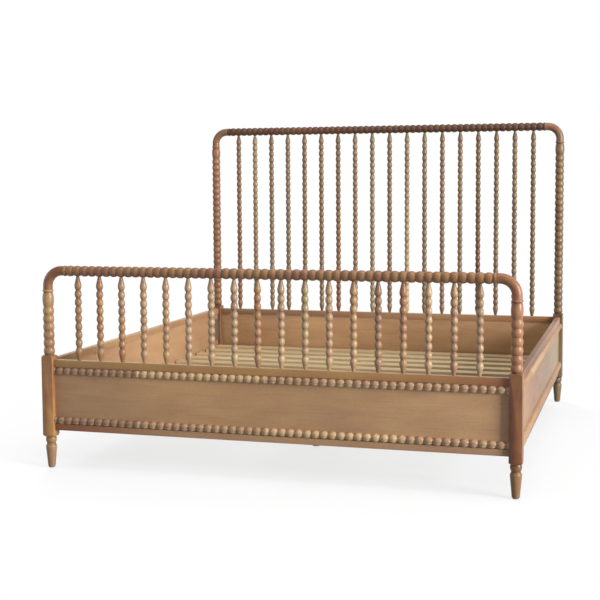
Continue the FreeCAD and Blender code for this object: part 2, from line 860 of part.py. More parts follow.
def leveller_insert(y):
    """Flanged threaded insert in the bottom of a centre leg."""
    bottom = FreeCAD.Vector(0, y, leg_clear_height)
    barrel = cylinder(bottom, Z, insert_diameter, insert_length)
    flange = cylinder(bottom, Z, insert_flange_diameter, insert_flange_thickness)
    bore = cylinder(bottom - Z * blind_gap, Z, leveller_stem_diameter + 2 * leveller_gap,
                insert_length + 2 * blind_gap)
    return joined([barrel, flange]).cut(bore)


def leveller_stem(y):
    """Threaded stem, drawn at the thread's outer diameter, seated in its plastic foot."""
    start = FreeCAD.Vector(0, y, leveller_foot_height - leveller_spigot_depth)
    return cylinder(start, Z, leveller_stem_diameter, leveller_stem_length + leveller_spigot_depth)


def leveller_foot(y):
    """Round plastic foot with a domed top and a socket for the stem."""
    radius = leveller_foot_diameter / 2
    boss = leveller_stem_diameter / 2 + leveller_boss_wall
    rim = leveller_rim_height
    chamfer = leveller_rim_chamfer
    dome = ((radius + boss) / 2, leveller_foot_height - leveller_dome_fall)
    outline = [
        line((radius - chamfer, 0), (radius, chamfer)),
        line((radius, chamfer), (radius, rim)),
        arc((radius, rim), dome, (boss, leveller_foot_height)),
    ]
    socket = cylinder(
        FreeCAD.Vector(0, 0, leveller_foot_height - leveller_spigot_depth), Z,
        leveller_stem_diameter, leveller_spigot_depth + blind_gap)
    return moved(turned(outline).cut(socket), 0, y, 0)


def hanger(end):
    """Sheet-metal shoe that holds one end of the centre beam: end is -1 at the foot, +1 at the head."""
    cheek_inside = beam_width / 2 + groove_gap
    cheek_outside = cheek_inside + hanger_thickness
    back = post_y - panel_inside
    mouth = beam_half_length() - hanger_seat_depth
    plate = box(around(0, 2 * (cheek_outside + hanger_wing_width)), (back - hanger_thickness, back),
                (panel_bottom, panel_bottom + hanger_wing_height))
    shoe_back = post_y - band_inside - groove_gap
    seat = box((-cheek_outside, cheek_outside), (mouth, shoe_back),
               (beam_bottom - hanger_thickness, beam_bottom))
    pieces = [plate, seat]
    for side in (-1, 1):
        span = sorted((side * cheek_inside, side * cheek_outside))
        pieces.append(box(span, (mouth, shoe_back), (beam_bottom - hanger_thickness, ledger_top)))
        pieces.append(box(span, (mouth, back), (panel_bottom, ledger_top)))
    shoe = joined(pieces)
    shoe = cut_all(shoe, [screw_hole(head, Y, plate_screw_length) for head in hanger_screw_places()])
    return shoe if end > 0 else turned_about_z(shoe, 180)


def hanger_screw_places():
    """Heads of the screws of the hanger at the headboard."""
    cheek_outside = beam_width / 2 + groove_gap + hanger_thickness
    reach = cheek_outside + hanger_wing_width / 2
    face = post_y - panel_inside - hanger_thickness
    levels = (panel_bottom + hanger_screw_inset, panel_bottom + hanger_wing_height - hanger_screw_inset)
    return [FreeCAD.Vector(x, face, level) for x in (-reach, reach) for level in levels]


def board_panel(end):
    """Panel of a board in place, drilled for the beam hanger's screws."""
    solid = panel(between_posts_x, True)
    tools = [screw_hole(head - Y * post_y, Y, plate_screw_length) for head in hanger_screw_places()]
    drilled = cut_all(solid, tools)
    if end < 0:
        drilled = turned_about_z(drilled, 180)
    return moved(drilled, 0, end * post_y, 0)


def glide():
    """Round glide with a pin, under the foot of a post."""
    pad = cylinder(ORIGIN, Z, glide_diameter, glide_height)
    rim = max(pad.Edges, key=lambda edge: -edge.CenterOfMass.z)
    pad = pad.makeFillet(glide_edge_easing, [rim])
    pin = cylinder(FreeCAD.Vector(0, 0, glide_height), Z, glide_pin_diameter, glide_pin_length)
    return joined([pad, pin])


# Placing pieces

def at_posts(shape):
    """Four copies of a right-hand footboard piece, one about each post, keyed by board and side."""
    right = moved(shape, post_x, -post_y, 0)
    left = mirrored_x(right)
    return {
        ("footboard", "left"): left,
        ("footboard", "right"): right,
        ("headboard", "left"): turned_about_z(right, 180),
        ("headboard", "right"): turned_about_z(left, 180),
    }


def on_side(shape, side):
    """Turn a side rail piece that runs along X, inner face to +Y, to the left (-1) or right (+1) rail."""
    return moved(turned_about_z(shape, 90 * side), side * post_x, 0, 0)


def group(shapes):
    return Part.makeCompound(shapes)


def board_nodes(board, end, bobbins):
    """Every node of one board."""
    level = rail_axis_level(bobbins)
    nodes = {}
    for piece, shape in (("post", post(bobbins)), ("elbow", elbow(bobbins))):
        placed = at_posts(shape)
        for side in ("left", "right"):
            nodes[f"{board}_{side}_{piece}"] = placed[(board, side)]
    nodes[f"{board}_top_rail"] = moved(top_rail(), 0, end * post_y, level)
    master = spindle(bobbins)
    places = spindle_places()
    for index, part_of_board in enumerate(("left", "centre", "right")):
        first = index * spindles_per_set
        row = [moved(master, x, end * post_y, 0) for x in places[first:first + spindles_per_set]]
        nodes[f"{board}_spindles_{part_of_board}"] = group(row)
    nodes[f"{board}_spindle_rail"] = moved(spindle_rail(), 0, end * post_y, 0)
    nodes[f"{board}_panel"] = board_panel(end)
    nodes[f"{board}_bottom_rail"] = moved(board_bottom_rail(), 0, end * post_y, 0)
    return nodes


def side_nodes(name, side):
    """Every wooden node of one side rail."""
    pieces = {
        "side_top_band": flat_band(between_posts_y, panel_top, spindle_rail_top, -1),
        "side_panel": side_panel(),
        "side_bottom_band": flat_band(between_posts_y, rail_bottom_level, panel_bottom, 1),
        "side_upper_beading": group(beading(between_posts_y, beading_upper_offset, upper_beading_level)),
        "side_lower_beading": group(beading(between_posts_y, beading_lower_offset, lower_beading_level)),
        "side_ledger": ledger(),
    }
    return {f"{name}_{piece}": on_side(shape, side) for piece, shape in pieces.items()}


def fitting_nodes():
    """Plates, screws, dowels and glides, identical ones in one node."""
    plates = []
    plate_screws = []
    strip_screws = []
    for side in (-1, 1):
        for shape in (hook_plate(), hook_plate().mirror(ORIGIN, X)):
            plates.append(on_side(shape, side))
        for fastener in hook_plate_screws():
            plate_screws.append(on_side(fastener, side))
            plate_screws.append(on_side(fastener.mirror(ORIGIN, X), side))
        strip_screws.extend(on_side(fastener, side) for fastener in ledger_screws())
    all_dowels = []
    for board, bobbins in (("footboard", footboard_post_bobbins), ("headboard", headboard_post_bobbins)):
        for shape in dowels(bobbins):
            placed = at_posts(shape)
            all_dowels.extend(placed[(board, side)] for side in ("left", "right"))
    catches = list(at_posts(catch_plate()).values())
    fixings = [placed for shape in catch_screws() for placed in at_posts(shape).values()]
    shoe_screws = [screw(head, Y, plate_screw_length) for head in hanger_screw_places()]
    shoe_screws += [turned_about_z(fastener, 180) for fastener in shoe_screws]
    board_screws = [screw(head, -Z, slat_screw_length)
                    for y in slat_places() for head in slat_screw_places(y)]
    return {
        "rail_hook_plates": group(plates),
        "hook_plate_screws": group(plate_screws),
        "post_catch_plates": group(catches),
        "catch_plate_screws": group(fixings),
        "ledger_screws": group(strip_screws),
        "elbow_dowels": group(all_dowels),
        "beam_hangers": group([hanger(-1), hanger(1)]),
        "hanger_screws": group(shoe_screws),
        "slat_screws": group(board_screws),
        "foot_glides": group(list(at_posts(glide()).values())),
    }


def base_nodes():
    """Slats, beam, centre legs and their levellers."""
    nodes = {
        "slats": group([slat(y) for y in slat_places()]),
        "centre_beam": centre_beam(),
        "leveller_inserts": group([leveller_insert(y) for y in leg_places]),
        "centre_leg_dowel_screws": group([dowel_screw(y) for y in leg_places]),
    }
    for name, y in zip(("front", "rear"), leg_places):
        nodes[f"{name}_centre_leg"] = centre_leg(y)
        nodes[f"{name}_leveller_stem"] = leveller_stem(y)
        nodes[f"{name}_leveller_foot"] = leveller_foot(y)
    return nodes


def footboard_beading_nodes():
    upper = group(beading(between_posts_x, beading_upper_offset, upper_beading_level))
    lower = group(beading(between_posts_x, beading_lower_offset, lower_beading_level))
    return {
        "footboard_upper_beading": moved(upper, 0, -post_y, 0),
        "footboard_lower_beading": moved(lower, 0, -post_y, 0),
    }


nodes = {}
nodes.update(board_nodes("footboard", -1, footboard_post_bobbins))
nodes.update(footboard_beading_nodes())
nodes.update(board_nodes("headboard", 1, headboard_post_bobbins))
nodes.update(side_nodes("left", -1))
nodes.update(side_nodes("right", 1))
nodes.update(base_nodes())
nodes.update(fitting_nodes())

os.makedirs("parts", exist_ok=True)
for name, shape in nodes.items():
    shape.exportStep(f"parts/{name}.step")
    print(name, len(shape.Solids), "solids", round(shape.Volume / 1000), "cm3", "valid", shape.isValid())
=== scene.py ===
# %% [markdown]
# # A bobbin-turned bed frame
#
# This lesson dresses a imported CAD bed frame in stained, glazed and waxed wood. Most of what the eye meets is
# lathe work: posts, top rails, spindles and the half-round beading are all rows of bobbins, a round back and
# a small cove, over and over. The CAD model has the true sizes and places, but its round faces are only as
# fine as its triangles. So the script reads places from the frame, turns the round pieces again as smooth
# skins, and leaves the plain inner pieces as they are with a better finish.

# %% Load the frame
import cmath
import math

import bmesh
import bpy
import numpy as np
from mathutils import Matrix, Vector


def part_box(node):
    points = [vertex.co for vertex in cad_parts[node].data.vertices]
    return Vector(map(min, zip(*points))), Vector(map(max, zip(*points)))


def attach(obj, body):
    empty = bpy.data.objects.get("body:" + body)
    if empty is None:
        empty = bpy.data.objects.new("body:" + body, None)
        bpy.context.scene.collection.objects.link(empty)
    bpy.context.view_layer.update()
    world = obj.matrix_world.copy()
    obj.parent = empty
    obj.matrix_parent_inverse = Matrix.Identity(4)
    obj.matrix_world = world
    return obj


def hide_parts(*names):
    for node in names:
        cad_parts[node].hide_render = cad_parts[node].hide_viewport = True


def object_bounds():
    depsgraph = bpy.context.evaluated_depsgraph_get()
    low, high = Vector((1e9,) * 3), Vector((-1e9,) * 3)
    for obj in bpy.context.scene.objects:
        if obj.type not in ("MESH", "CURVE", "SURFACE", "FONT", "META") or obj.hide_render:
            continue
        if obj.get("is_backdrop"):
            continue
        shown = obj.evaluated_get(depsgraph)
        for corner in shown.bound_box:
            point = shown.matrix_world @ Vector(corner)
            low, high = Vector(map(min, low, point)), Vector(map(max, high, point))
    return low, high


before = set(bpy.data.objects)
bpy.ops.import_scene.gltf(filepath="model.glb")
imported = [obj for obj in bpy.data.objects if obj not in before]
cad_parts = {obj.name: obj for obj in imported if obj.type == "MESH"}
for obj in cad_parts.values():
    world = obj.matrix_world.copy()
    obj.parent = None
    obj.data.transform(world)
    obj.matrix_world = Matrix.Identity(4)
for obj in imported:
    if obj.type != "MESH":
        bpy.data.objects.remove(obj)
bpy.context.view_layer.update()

# %% [markdown]
# The camera stands to the right of the footboard, a little below eye height, and looks slightly down. Its
# place, turn and lens were solved from the axes of the four posts. The picture is a crop whose optical centre
# lies a little above its middle, which is what the small vertical shift stands for.

# %% Camera
MM = 0.001
IMAGE_PX = 600
SENSOR_MM = 36.0
focal_px = 1196.23
optical_centre_px = 274.37
camera_place = (1.48006, -5.6185, 1.23677)
camera_yaw, camera_pitch, camera_roll = (math.radians(angle) for angle in (16.421, 4.592, -0.365))

camera = bpy.data.objects.new("camera", bpy.data.cameras.new("camera"))
camera.data.sensor_width = SENSOR_MM
camera.data.lens = focal_px / IMAGE_PX * SENSOR_MM
camera.data.shift_y = (optical_centre_px - IMAGE_PX / 2) / IMAGE_PX
camera.matrix_world = (
    Matrix.Translation(camera_place)
    @ Matrix.Rotation(camera_yaw, 4, "Z")
    @ Matrix.Rotation(math.pi / 2 - camera_pitch, 4, "X")
    @ Matrix.Rotation(camera_roll, 4, "Z")
)
bpy.context.collection.objects.link(camera)
bpy.context.scene.camera = camera
bpy.context.scene.view_settings.view_transform = "Standard"
print("lens in mm:", round(camera.data.lens, 1))

# %% [markdown]
# Every material here is a small graph of nodes. One helper adds a node, sets it and links it in a single
# call. Another turns colours, written as people pick them on a screen, into the linear values that light adds
# up in. A third starts a material and gives back its graph.

# %% Nodes and colours
def add_node(tree, kind, settings=None, links=None):
    """Add a node, set its properties or sockets by name, and link other nodes' outputs to its sockets."""
    node = tree.nodes.new(kind)
    for name, value in (settings or {}).items():
        if isinstance(name, str) and hasattr(node, name):
            setattr(node, name, value)
        else:
            node.inputs[name].default_value = value
    for name, output in (links or {}).items():
        tree.links.new(output, node.inputs[name])
    return node


def linear(hex_colour):
    """Linear RGBA of an sRGB hex colour."""
    channels = [int(hex_colour[place:place + 2], 16) / 255 for place in (1, 3, 5)]
    return [c / 12.92 if c <= 0.04045 else ((c + 0.055) / 1.055) ** 2.4 for c in channels] + [1.0]


def new_material(name):
    """A material with nodes, and its node tree."""
    material = bpy.data.materials.new(name)
    material.use_nodes = True
    return material, material.node_tree


print("middle grey in linear light:", round(linear("#808080")[0], 3))

# %% [markdown]
# The bed stands on a white studio floor that fades into a white background and keeps only a pale shadow. A
# floor lit hard enough to turn white would also flood the wood with light, so the floor is split in two by
# the kind of ray. A ray from the camera meets a white glow, dimmer where the bed closes off the sky above it,
# with a little lamplit paint mixed in, and from three metres out only the glow. Light that bounces meets dark
# paint, with a faint glow in front of the footboard, so the undersides of the bobbins stay dark.

# %% Studio floor
def seen_directly(tree):
    """Output that is 1 for camera, mirror and see-through rays and 0 for light that bounces."""
    path = add_node(tree, "ShaderNodeLightPath")
    mirrored = add_node(tree, "ShaderNodeMath", {"operation": "MAXIMUM"},
                        {0: path.outputs["Is Camera Ray"], 1: path.outputs["Is Glossy Ray"]})
    seen = add_node(tree, "ShaderNodeMath", {"operation": "MAXIMUM"},
                    {0: mirrored.outputs[0], 1: path.outputs["Is Transmission Ray"]})
    return seen.outputs[0]


FLOOR_GLOW = 0.82
UNDER_BED_GLOW = 0.67
SKY_REACH = 0.7
FLOOR_SHADE = "#7C7C7D"
FLOOR_PAINT = "#555554"
FADE_START, FADE_END = 1.4, 3.0
FRONT_BOUNCE = 0.2
BOUNCE_FULL_Y, BOUNCE_END_Y = -1.3, -1.05
FLOOR_REACH = 40
floor_paint, tree = new_material("white_studio_paint")
tree.nodes.clear()
shaded = add_node(tree, "ShaderNodeBsdfDiffuse", {"Color": linear(FLOOR_SHADE)})
sky = add_node(tree, "ShaderNodeAmbientOcclusion", {"Distance": SKY_REACH})
dimming = add_node(tree, "ShaderNodeMapRange", {"To Min": UNDER_BED_GLOW, "To Max": FLOOR_GLOW},
                   {"Value": sky.outputs["AO"]})
glow = add_node(tree, "ShaderNodeEmission", {}, {"Strength": dimming.outputs[0]})
near = add_node(tree, "ShaderNodeAddShader", {}, {0: shaded.outputs[0], 1: glow.outputs[0]})
place = add_node(tree, "ShaderNodeTexCoord")
distance = add_node(tree, "ShaderNodeVectorMath", {"operation": "LENGTH"}, {0: place.outputs["Object"]})
fade = add_node(tree, "ShaderNodeMapRange",
                {"interpolation_type": "SMOOTHSTEP", "From Min": FADE_START, "From Max": FADE_END},
                {"Value": distance.outputs["Value"]})
white = add_node(tree, "ShaderNodeEmission", {"Strength": 1.0})
shown = add_node(tree, "ShaderNodeMixShader", {},
                 {0: fade.outputs[0], 1: near.outputs[0], 2: white.outputs[0]})
axes = add_node(tree, "ShaderNodeSeparateXYZ", {}, {0: place.outputs["Object"]})
in_front = add_node(tree, "ShaderNodeMapRange",
                    {"From Min": BOUNCE_FULL_Y, "From Max": BOUNCE_END_Y,
                     "To Min": FRONT_BOUNCE, "To Max": 0.0},
                    {"Value": axes.outputs["Y"]})
lit = add_node(tree, "ShaderNodeEmission", {}, {"Strength": in_front.outputs[0]})
paint_grey = add_node(tree, "ShaderNodeBsdfDiffuse", {"Color": linear(FLOOR_PAINT)})
bounced = add_node(tree, "ShaderNodeAddShader", {}, {0: paint_grey.outputs[0], 1: lit.outputs[0]})
paint_surface = add_node(tree, "ShaderNodeMixShader", {},
                         {0: seen_directly(tree), 1: bounced.outputs[0], 2: shown.outputs[0]})
add_node(tree, "ShaderNodeOutputMaterial", {}, {"Surface": paint_surface.outputs[0]})

floor_shape = bmesh.new()
bmesh.ops.create_grid(floor_shape, x_segments=1, y_segments=1, size=FLOOR_REACH)
floor = bpy.data.objects.new("studio_floor", bpy.data.meshes.new("studio_floor"))
floor_shape.to_mesh(floor.data)
floor_shape.free()
floor.data.materials.append(floor_paint)
bpy.context.collection.objects.link(floor)
floor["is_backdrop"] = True
print("floor made, side in metres:", round(floor.dimensions.x))

# %% [markdown]
# On every bobbin the highlight sits far to the right and just above the middle, so the main light is a broad
# softbox well round to the right of the footboard, low and far off. A larger one overhead lifts the tops of
# the rails, a weak one close by on the left keeps the shaded sides readable, and one behind lights the back
# of the headboard, hidden from mirror rays so that it draws no bright rims. A white room fills the rest. It
# is an even world light, a sheet of white to the camera and much dimmer where it lights the wood, so that a
# colour renders about as it is written.

# %% Lights
ROOM_LIGHT = 0.18
world = bpy.data.worlds.new("white_room")
world.use_nodes = True
bpy.context.scene.world = world
tree = world.node_tree
room = add_node(tree, "ShaderNodeMapRange", {"To Min": ROOM_LIGHT, "To Max": 1.0},
                {"Value": seen_directly(tree)})
tree.nodes["Background"].inputs["Color"].default_value = (1.0, 1.0, 1.0, 1.0)
tree.links.new(room.outputs["Result"], tree.nodes["Background"].inputs["Strength"])


def softbox(name, azimuth, elevation, distance, side, level):
    """Square light aimed at the bed; level is how bright it alone makes a white card that faces it."""
    lamp = bpy.data.lights.new(name, "AREA")
    lamp.shape = "SQUARE"
    lamp.size = side
    lamp.energy = level * math.pi ** 2 * distance ** 2
    light = bpy.data.objects.new(name, lamp)
    turn, lift = math.radians(azimuth), math.radians(elevation)
    away = Vector((math.sin(turn) * math.cos(lift), -math.cos(turn) * math.cos(lift), math.sin(lift)))
    aim = Vector((0, 0, 0.5))
    light.location = aim + distance * away
    light.rotation_mode = "QUATERNION"
    light.rotation_quaternion = (-away).to_track_quat("-Z", "Y")
    bpy.context.collection.objects.link(light)
    return light


key = softbox("key_softbox", azimuth=68, elevation=14, distance=11.0, side=4.4, level=1.28)
softbox("top_softbox", azimuth=40, elevation=72, distance=7.0, side=5.0, level=0.45)
softbox("left_softbox", azimuth=-62, elevation=12, distance=3.4, side=1.6, level=0.1)
behind = softbox("back_softbox", azimuth=212, elevation=35, distance=8.0, side=4.0, level=0.5)
behind.visible_glossy = False
print("key light at", [round(place, 2) for place in key.location], "room light", ROOM_LIGHT)

# %% [markdown]
# The wood is a pale close-grained hardwood, stained piece by piece and wiped with a dark glaze. The maker let
# the stain vary, so neighbouring spindles run from honey through tan and olive to russet. Each piece carries
# its stain in a colour attribute called stain, laid along one axis, so a handful of materials serve them all.
# On the beading that attribute also carries painted bounce light, a paler lower rim on every bead. A second
# attribute, glaze, says how deep a point lies in a cove, and a third, wear, marks the eased edges.

# %% Stains
STAINS = {
    "cream": "#D9BE96",
    "straw": "#C6A981",
    "oat": "#C1986C",
    "honey": "#C09E76",
    "biscuit": "#BB926E",
    "gold": "#BD8750",
    "wheat": "#B99977",
    "sand": "#B8916A",
    "ochre": "#AF8553",
    "tan": "#B09070",
    "amber": "#AE8660",
    "mauve": "#A88465",
    "russet": "#A97951",
    "fawn": "#A37E5B",
    "brick": "#9D5C33",
    "moss": "#A18E68",
    "copper": "#A06F50",
    "rose": "#A07C62",
    "mocha": "#906D54",
    "olive": "#8C7759",
    "brown": "#8B6243",
    "chestnut": "#8A5B3A",
    "taupe": "#876B4F",
    "bark": "#7D6547",
    "umber": "#7E4A2B",
    "cocoa": "#643E23",
    "espresso": "#52321B",
}


def paint(piece, axis, stops):
    """Lay stains along one axis of a piece: stops are (place in metres, stain) pairs in rising order."""
    places = [vertex.co[axis] for vertex in piece.data.vertices]
    marks = [place for place, _ in stops]
    colours = np.array([linear(STAINS[stain]) for _, stain in stops])
    mixed = [np.interp(places, marks, colours[:, channel]) for channel in range(4)]
    layer = piece.data.attributes.new("stain", "FLOAT_COLOR", "POINT")
    layer.data.foreach_set("color", np.stack(mixed, axis=1).ravel())


print(len(STAINS), "stains on the shelf")

# %% [markdown]
# Stained beech, glazed and waxed. The stain gives the base colour, broad drifts of figure warm and cool it,
# and fine streaks run along the grain. The glaze stays behind in the coves and pores and darkens them, most
# on posts and spindles, and the eased edges are rubbed a little paler. Wax leaves a satin gloss, weaker than
# varnish and rougher where the grain is open. Real pores are a few tenths of a millimetre wide, too fine to
# show, so they are drawn about three times as coarse.

# %% Stained wood
GLAZE_COLOUR = "#3A2618"
RUBBED_COLOUR = "#D2AE84"
RUBBED_SHARE = 0.3
PORE_MM = (1.0, 11.0)
PORE_RANGE = {"From Min": 0.62, "From Max": 0.74, "To Min": 0.0, "To Max": 0.45}
NOISE_SPAN = {"From Min": 0.3, "From Max": 0.7}
GLOSS_DRIFT = 0.06
WOOD_IOR = 1.5
WAX_SPECULAR = 0.4
X_AXIS, Y_AXIS, Z_AXIS = 0, 1, 2


def grain_noise(tree, grain, layers):
    """Noise by name, drawn out along the grain; layers are (name, (mm across, mm along), detail)."""
    place = add_node(tree, "ShaderNodeTexCoord")
    noise = {}
    for layer, (across, along), detail in layers:
        scale = [1 / (across * MM)] * 3
        scale[grain] = 1 / (along * MM)
        mapping = add_node(tree, "ShaderNodeMapping", {"Scale": scale}, {"Vector": place.outputs["Object"]})
        noise[layer] = add_node(tree, "ShaderNodeTexNoise", {"Scale": 1.0, "Detail": detail},
                                {"Vector": mapping.outputs["Vector"]}).outputs["Fac"]
    return noise


def stained_wood(name, grain, figure_mm, streak_mm, drift, mottle, streak, held, satin):
    """Waxed stained beech whose grain runs along one axis; the mm sizes are (across, along) the grain."""
    material, tree = new_material(name)
    noise = grain_noise(tree, grain, (
        ("figure", figure_mm, 2.0), ("streak", streak_mm, 4.0), ("pore", PORE_MM, 1.0)))

    stain, cove, wear = (add_node(tree, "ShaderNodeAttribute", {"attribute_name": attribute})
                         for attribute in ("stain", "glaze", "wear"))
    hue = add_node(tree, "ShaderNodeMapRange",
                   {**NOISE_SPAN, "To Min": 0.5 - drift, "To Max": 0.5 + drift},
                   {"Value": noise["figure"]})
    patches = add_node(tree, "ShaderNodeMapRange",
                       {**NOISE_SPAN, "To Min": 1 - mottle, "To Max": 1 + mottle},
                       {"Value": noise["figure"]})
    streaks = add_node(tree, "ShaderNodeMapRange",
                       {**NOISE_SPAN, "To Min": 1 - streak, "To Max": 1 + streak},
                       {"Value": noise["streak"]})
    depth = add_node(tree, "ShaderNodeMath", {"operation": "MULTIPLY"},
                     {0: patches.outputs[0], 1: streaks.outputs[0]})
    tinted = add_node(tree, "ShaderNodeHueSaturation", {},
                      {"Color": stain.outputs["Color"], "Hue": hue.outputs[0], "Value": depth.outputs[0]})

    pores = add_node(tree, "ShaderNodeMapRange", PORE_RANGE, {"Value": noise["pore"]})
    grained = add_node(tree, "ShaderNodeMix", {"data_type": "RGBA", 7: linear(GLAZE_COLOUR)},
                       {0: pores.outputs[0], 6: tinted.outputs["Color"]})
    settled = add_node(tree, "ShaderNodeMapRange", {"To Max": held}, {"Value": cove.outputs["Fac"]})
    glazed = add_node(tree, "ShaderNodeMix", {"data_type": "RGBA", 7: linear(GLAZE_COLOUR)},
                      {0: settled.outputs[0], 6: grained.outputs[2]})
    rubbed = add_node(tree, "ShaderNodeMath", {"operation": "MULTIPLY", 1: RUBBED_SHARE},
                      {0: wear.outputs["Fac"]})
    worn = add_node(tree, "ShaderNodeMix", {"data_type": "RGBA", 7: linear(RUBBED_COLOUR)},
                    {0: rubbed.outputs[0], 6: glazed.outputs[2]})

    gloss = add_node(tree, "ShaderNodeMapRange",
                     {**NOISE_SPAN, "To Min": satin - GLOSS_DRIFT, "To Max": satin + GLOSS_DRIFT},
                     {"Value": noise["streak"]})
    bump = add_node(tree, "ShaderNodeBump", {"Strength": 0.25, "Distance": 0.2 * MM, "invert": True},
                    {"Height": pores.outputs[0]})
    shader = tree.nodes["Principled BSDF"]
    shader.inputs["IOR"].default_value = WOOD_IOR
    shader.inputs["Specular IOR Level"].default_value = WAX_SPECULAR
    tree.links.new(worn.outputs[2], shader.inputs["Base Color"])
    tree.links.new(gloss.outputs[0], shader.inputs["Roughness"])
    tree.links.new(bump.outputs["Normal"], shader.inputs["Normal"])
    return material


turned_upright = stained_wood(
    "waxed_stained_beech_upright", Z_AXIS, figure_mm=(45, 90), streak_mm=(3, 70),
    drift=0.014, mottle=0.12, streak=0.1, held=0.55, satin=0.35)
turned_level = stained_wood(
    "waxed_stained_beech_level", X_AXIS, figure_mm=(60, 120), streak_mm=(3, 80),
    drift=0.014, mottle=0.12, streak=0.1, held=0.05, satin=0.38)
board_wood = stained_wood(
    "waxed_stained_beech_board", X_AXIS, figure_mm=(52, 190), streak_mm=(5, 170),
    drift=0.006, mottle=0.07, streak=0.04, held=0.05, satin=0.32)
side_wood = stained_wood(
    "waxed_stained_beech_side", Y_AXIS, figure_mm=(52, 190), streak_mm=(5, 170),
    drift=0.006, mottle=0.07, streak=0.04, held=0.05, satin=0.42)
print("wood finishes:", [m.name for m in (turned_upright, turned_level, board_wood, side_wood)])

# %% [markdown]
# A turner works from an outline: how thick the piece is at each place along it. Here an outline is a list of
# (along, radius) points in millimetres. Three curves draw every one of them: an arc through three points, a
# swell that leaves a crown level and falls to its end, and a row of bobbins, where each round back flows into
# a small cove at the same slope. Writing the curves as formulas keeps the points few and the joins smooth.

# %% Outline curves
BACK_STEPS = 4
COVE_STEPS = 2


def arc(start, middle, end, steps=6):
    """Points after the start on the circle through three outline points."""
    a, b, c = (complex(*point) for point in (start, middle, end))
    ratio = (c - a) / (b - a)
    centre = a - (a - b) * (ratio - abs(ratio) ** 2) / (2j * ratio.imag)
    turn = cmath.phase((b - centre) / (a - centre)) + cmath.phase((c - centre) / (b - centre))
    points = [centre + (a - centre) * cmath.exp(1j * turn * step / steps) for step in range(1, steps + 1)]
    return [(point.real, point.imag) for point in points]


def swell(crown, end, steps=6):
    """Points from a crown, where the outline runs level, down one arc to its end."""
    run, drop = end[0] - crown[0], crown[1] - end[1]
    radius = (run ** 2 + drop ** 2) / (2 * drop)
    reach = math.asin(run / radius)
    angles = [reach * step / steps for step in range(steps + 1)]
    return [(crown[0] + radius * math.sin(angle), crown[1] - radius * (1 - math.cos(angle)))
            for angle in angles]


def bobbin_row(start, pitch, count, crown, neck, cove):
    """A row of bobbins from neck to neck: round backs that flow into small coves."""
    rise = crown - neck
    radii = ((pitch / 2) ** 2 + rise ** 2) / (2 * rise)
    back = radii - cove
    slope = math.atan2(pitch / 2, radii - rise)
    outline = []
    for index in range(count):
        low, middle, high = (start + (index + share) * pitch for share in (0, 0.5, 1))
        leaving = [slope * step / COVE_STEPS for step in range(COVE_STEPS)]
        over = [slope * step / BACK_STEPS for step in range(-BACK_STEPS, BACK_STEPS + 1)]
        outline += [(low + cove * math.sin(a), neck + cove * (1 - math.cos(a))) for a in leaving]
        outline += [(middle + back * math.sin(a), crown - back * (1 - math.cos(a))) for a in over]
        outline += [(high - cove * math.sin(a), neck + cove * (1 - math.cos(a))) for a in leaving[:0:-1]]
    return outline + [(start + count * pitch, neck)]


sample = bobbin_row(start=0, pitch=30, count=1, crown=20, neck=15, cove=3)
print("points on one bobbin:", len(sample))

# %% [markdown]
# Spinning the outline round its axis is just what a lathe does. The spin runs round Z, and a full spin merges
# its last step into its first. While the outline is still a single line of points, each point is told how far
# it lies below the crowns near it, because that is where the glaze will stay, and the spin copies that along.

# %% Lathe
GLAZE_REACH = 13.0
GLAZE_DEPTH = 4.5
SHARP_ANGLE = math.radians(38)
SAME_POINT = 0.001


def hollows(outline):
    """How deep each point lies below the crowns near it, from 0 on a crown to 1 in a cove."""
    shares = []
    for along, radius in outline:
        crown = max(near for place, near in outline if abs(place - along) < GLAZE_REACH)
        shares.append(min(1.0, (crown - radius) / GLAZE_DEPTH))
    return shares


def turn(outline, segments, angle=2 * math.pi, hold=1.0):
    """Spin an outline in mm round Z; hold is the share of glaze left in its deepest coves."""
    shape = bmesh.new()
    glaze = shape.verts.layers.float.new("glaze")
    chain = [shape.verts.new((radius, 0, along)) for along, radius in outline]
    for point, share in zip(chain, hollows(outline)):
        point[glaze] = hold * share
    line = [shape.edges.new(pair) for pair in zip(chain, chain[1:])]
    bmesh.ops.spin(shape, geom=chain + line, axis=(0, 0, 1), cent=(0, 0, 0), angle=angle, steps=segments,
                   use_merge=angle == 2 * math.pi)
    bmesh.ops.remove_doubles(shape, verts=shape.verts, dist=SAME_POINT)
    bmesh.ops.recalc_face_normals(shape, faces=shape.faces)
    return shape


def keep(shape, name, node, material, place):
    """Bring a shape from mm to its place in the bed, as a piece that stands for a CAD node."""
    bmesh.ops.transform(shape, matrix=place @ Matrix.Scale(MM, 4), verts=shape.verts)
    bmesh.ops.recalc_face_normals(shape, faces=shape.faces)
    for face in shape.faces:
        face.smooth = True
    for edge in shape.edges:
        edge.smooth = edge.calc_face_angle(0) < SHARP_ANGLE
    piece = bpy.data.objects.new(name, bpy.data.meshes.new(name))
    shape.to_mesh(piece.data)
    shape.free()
    piece.data.materials.append(material)
    bpy.context.collection.objects.link(piece)
    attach(piece, "frame")
    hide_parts(node)
    return piece


print("lathe ready, glaze settles in hollows deeper than", GLAZE_DEPTH, "mm")

# %% [markdown]
# A corner post is one length of square stock. Its foot is turned to a taper with a cove and a ring, its
# middle stays square to take the rails, and its top is turned to bobbins, a barrel and a collar. The square
# block could be a separate box, but then its shoulders would be flat. Here the whole post is turned first,
# with the block as a thick round, and four planes then saw the block square. That leaves the curved shoulders
# a lathe leaves where square meets round. The saw cuts are filled and the four long edges eased.

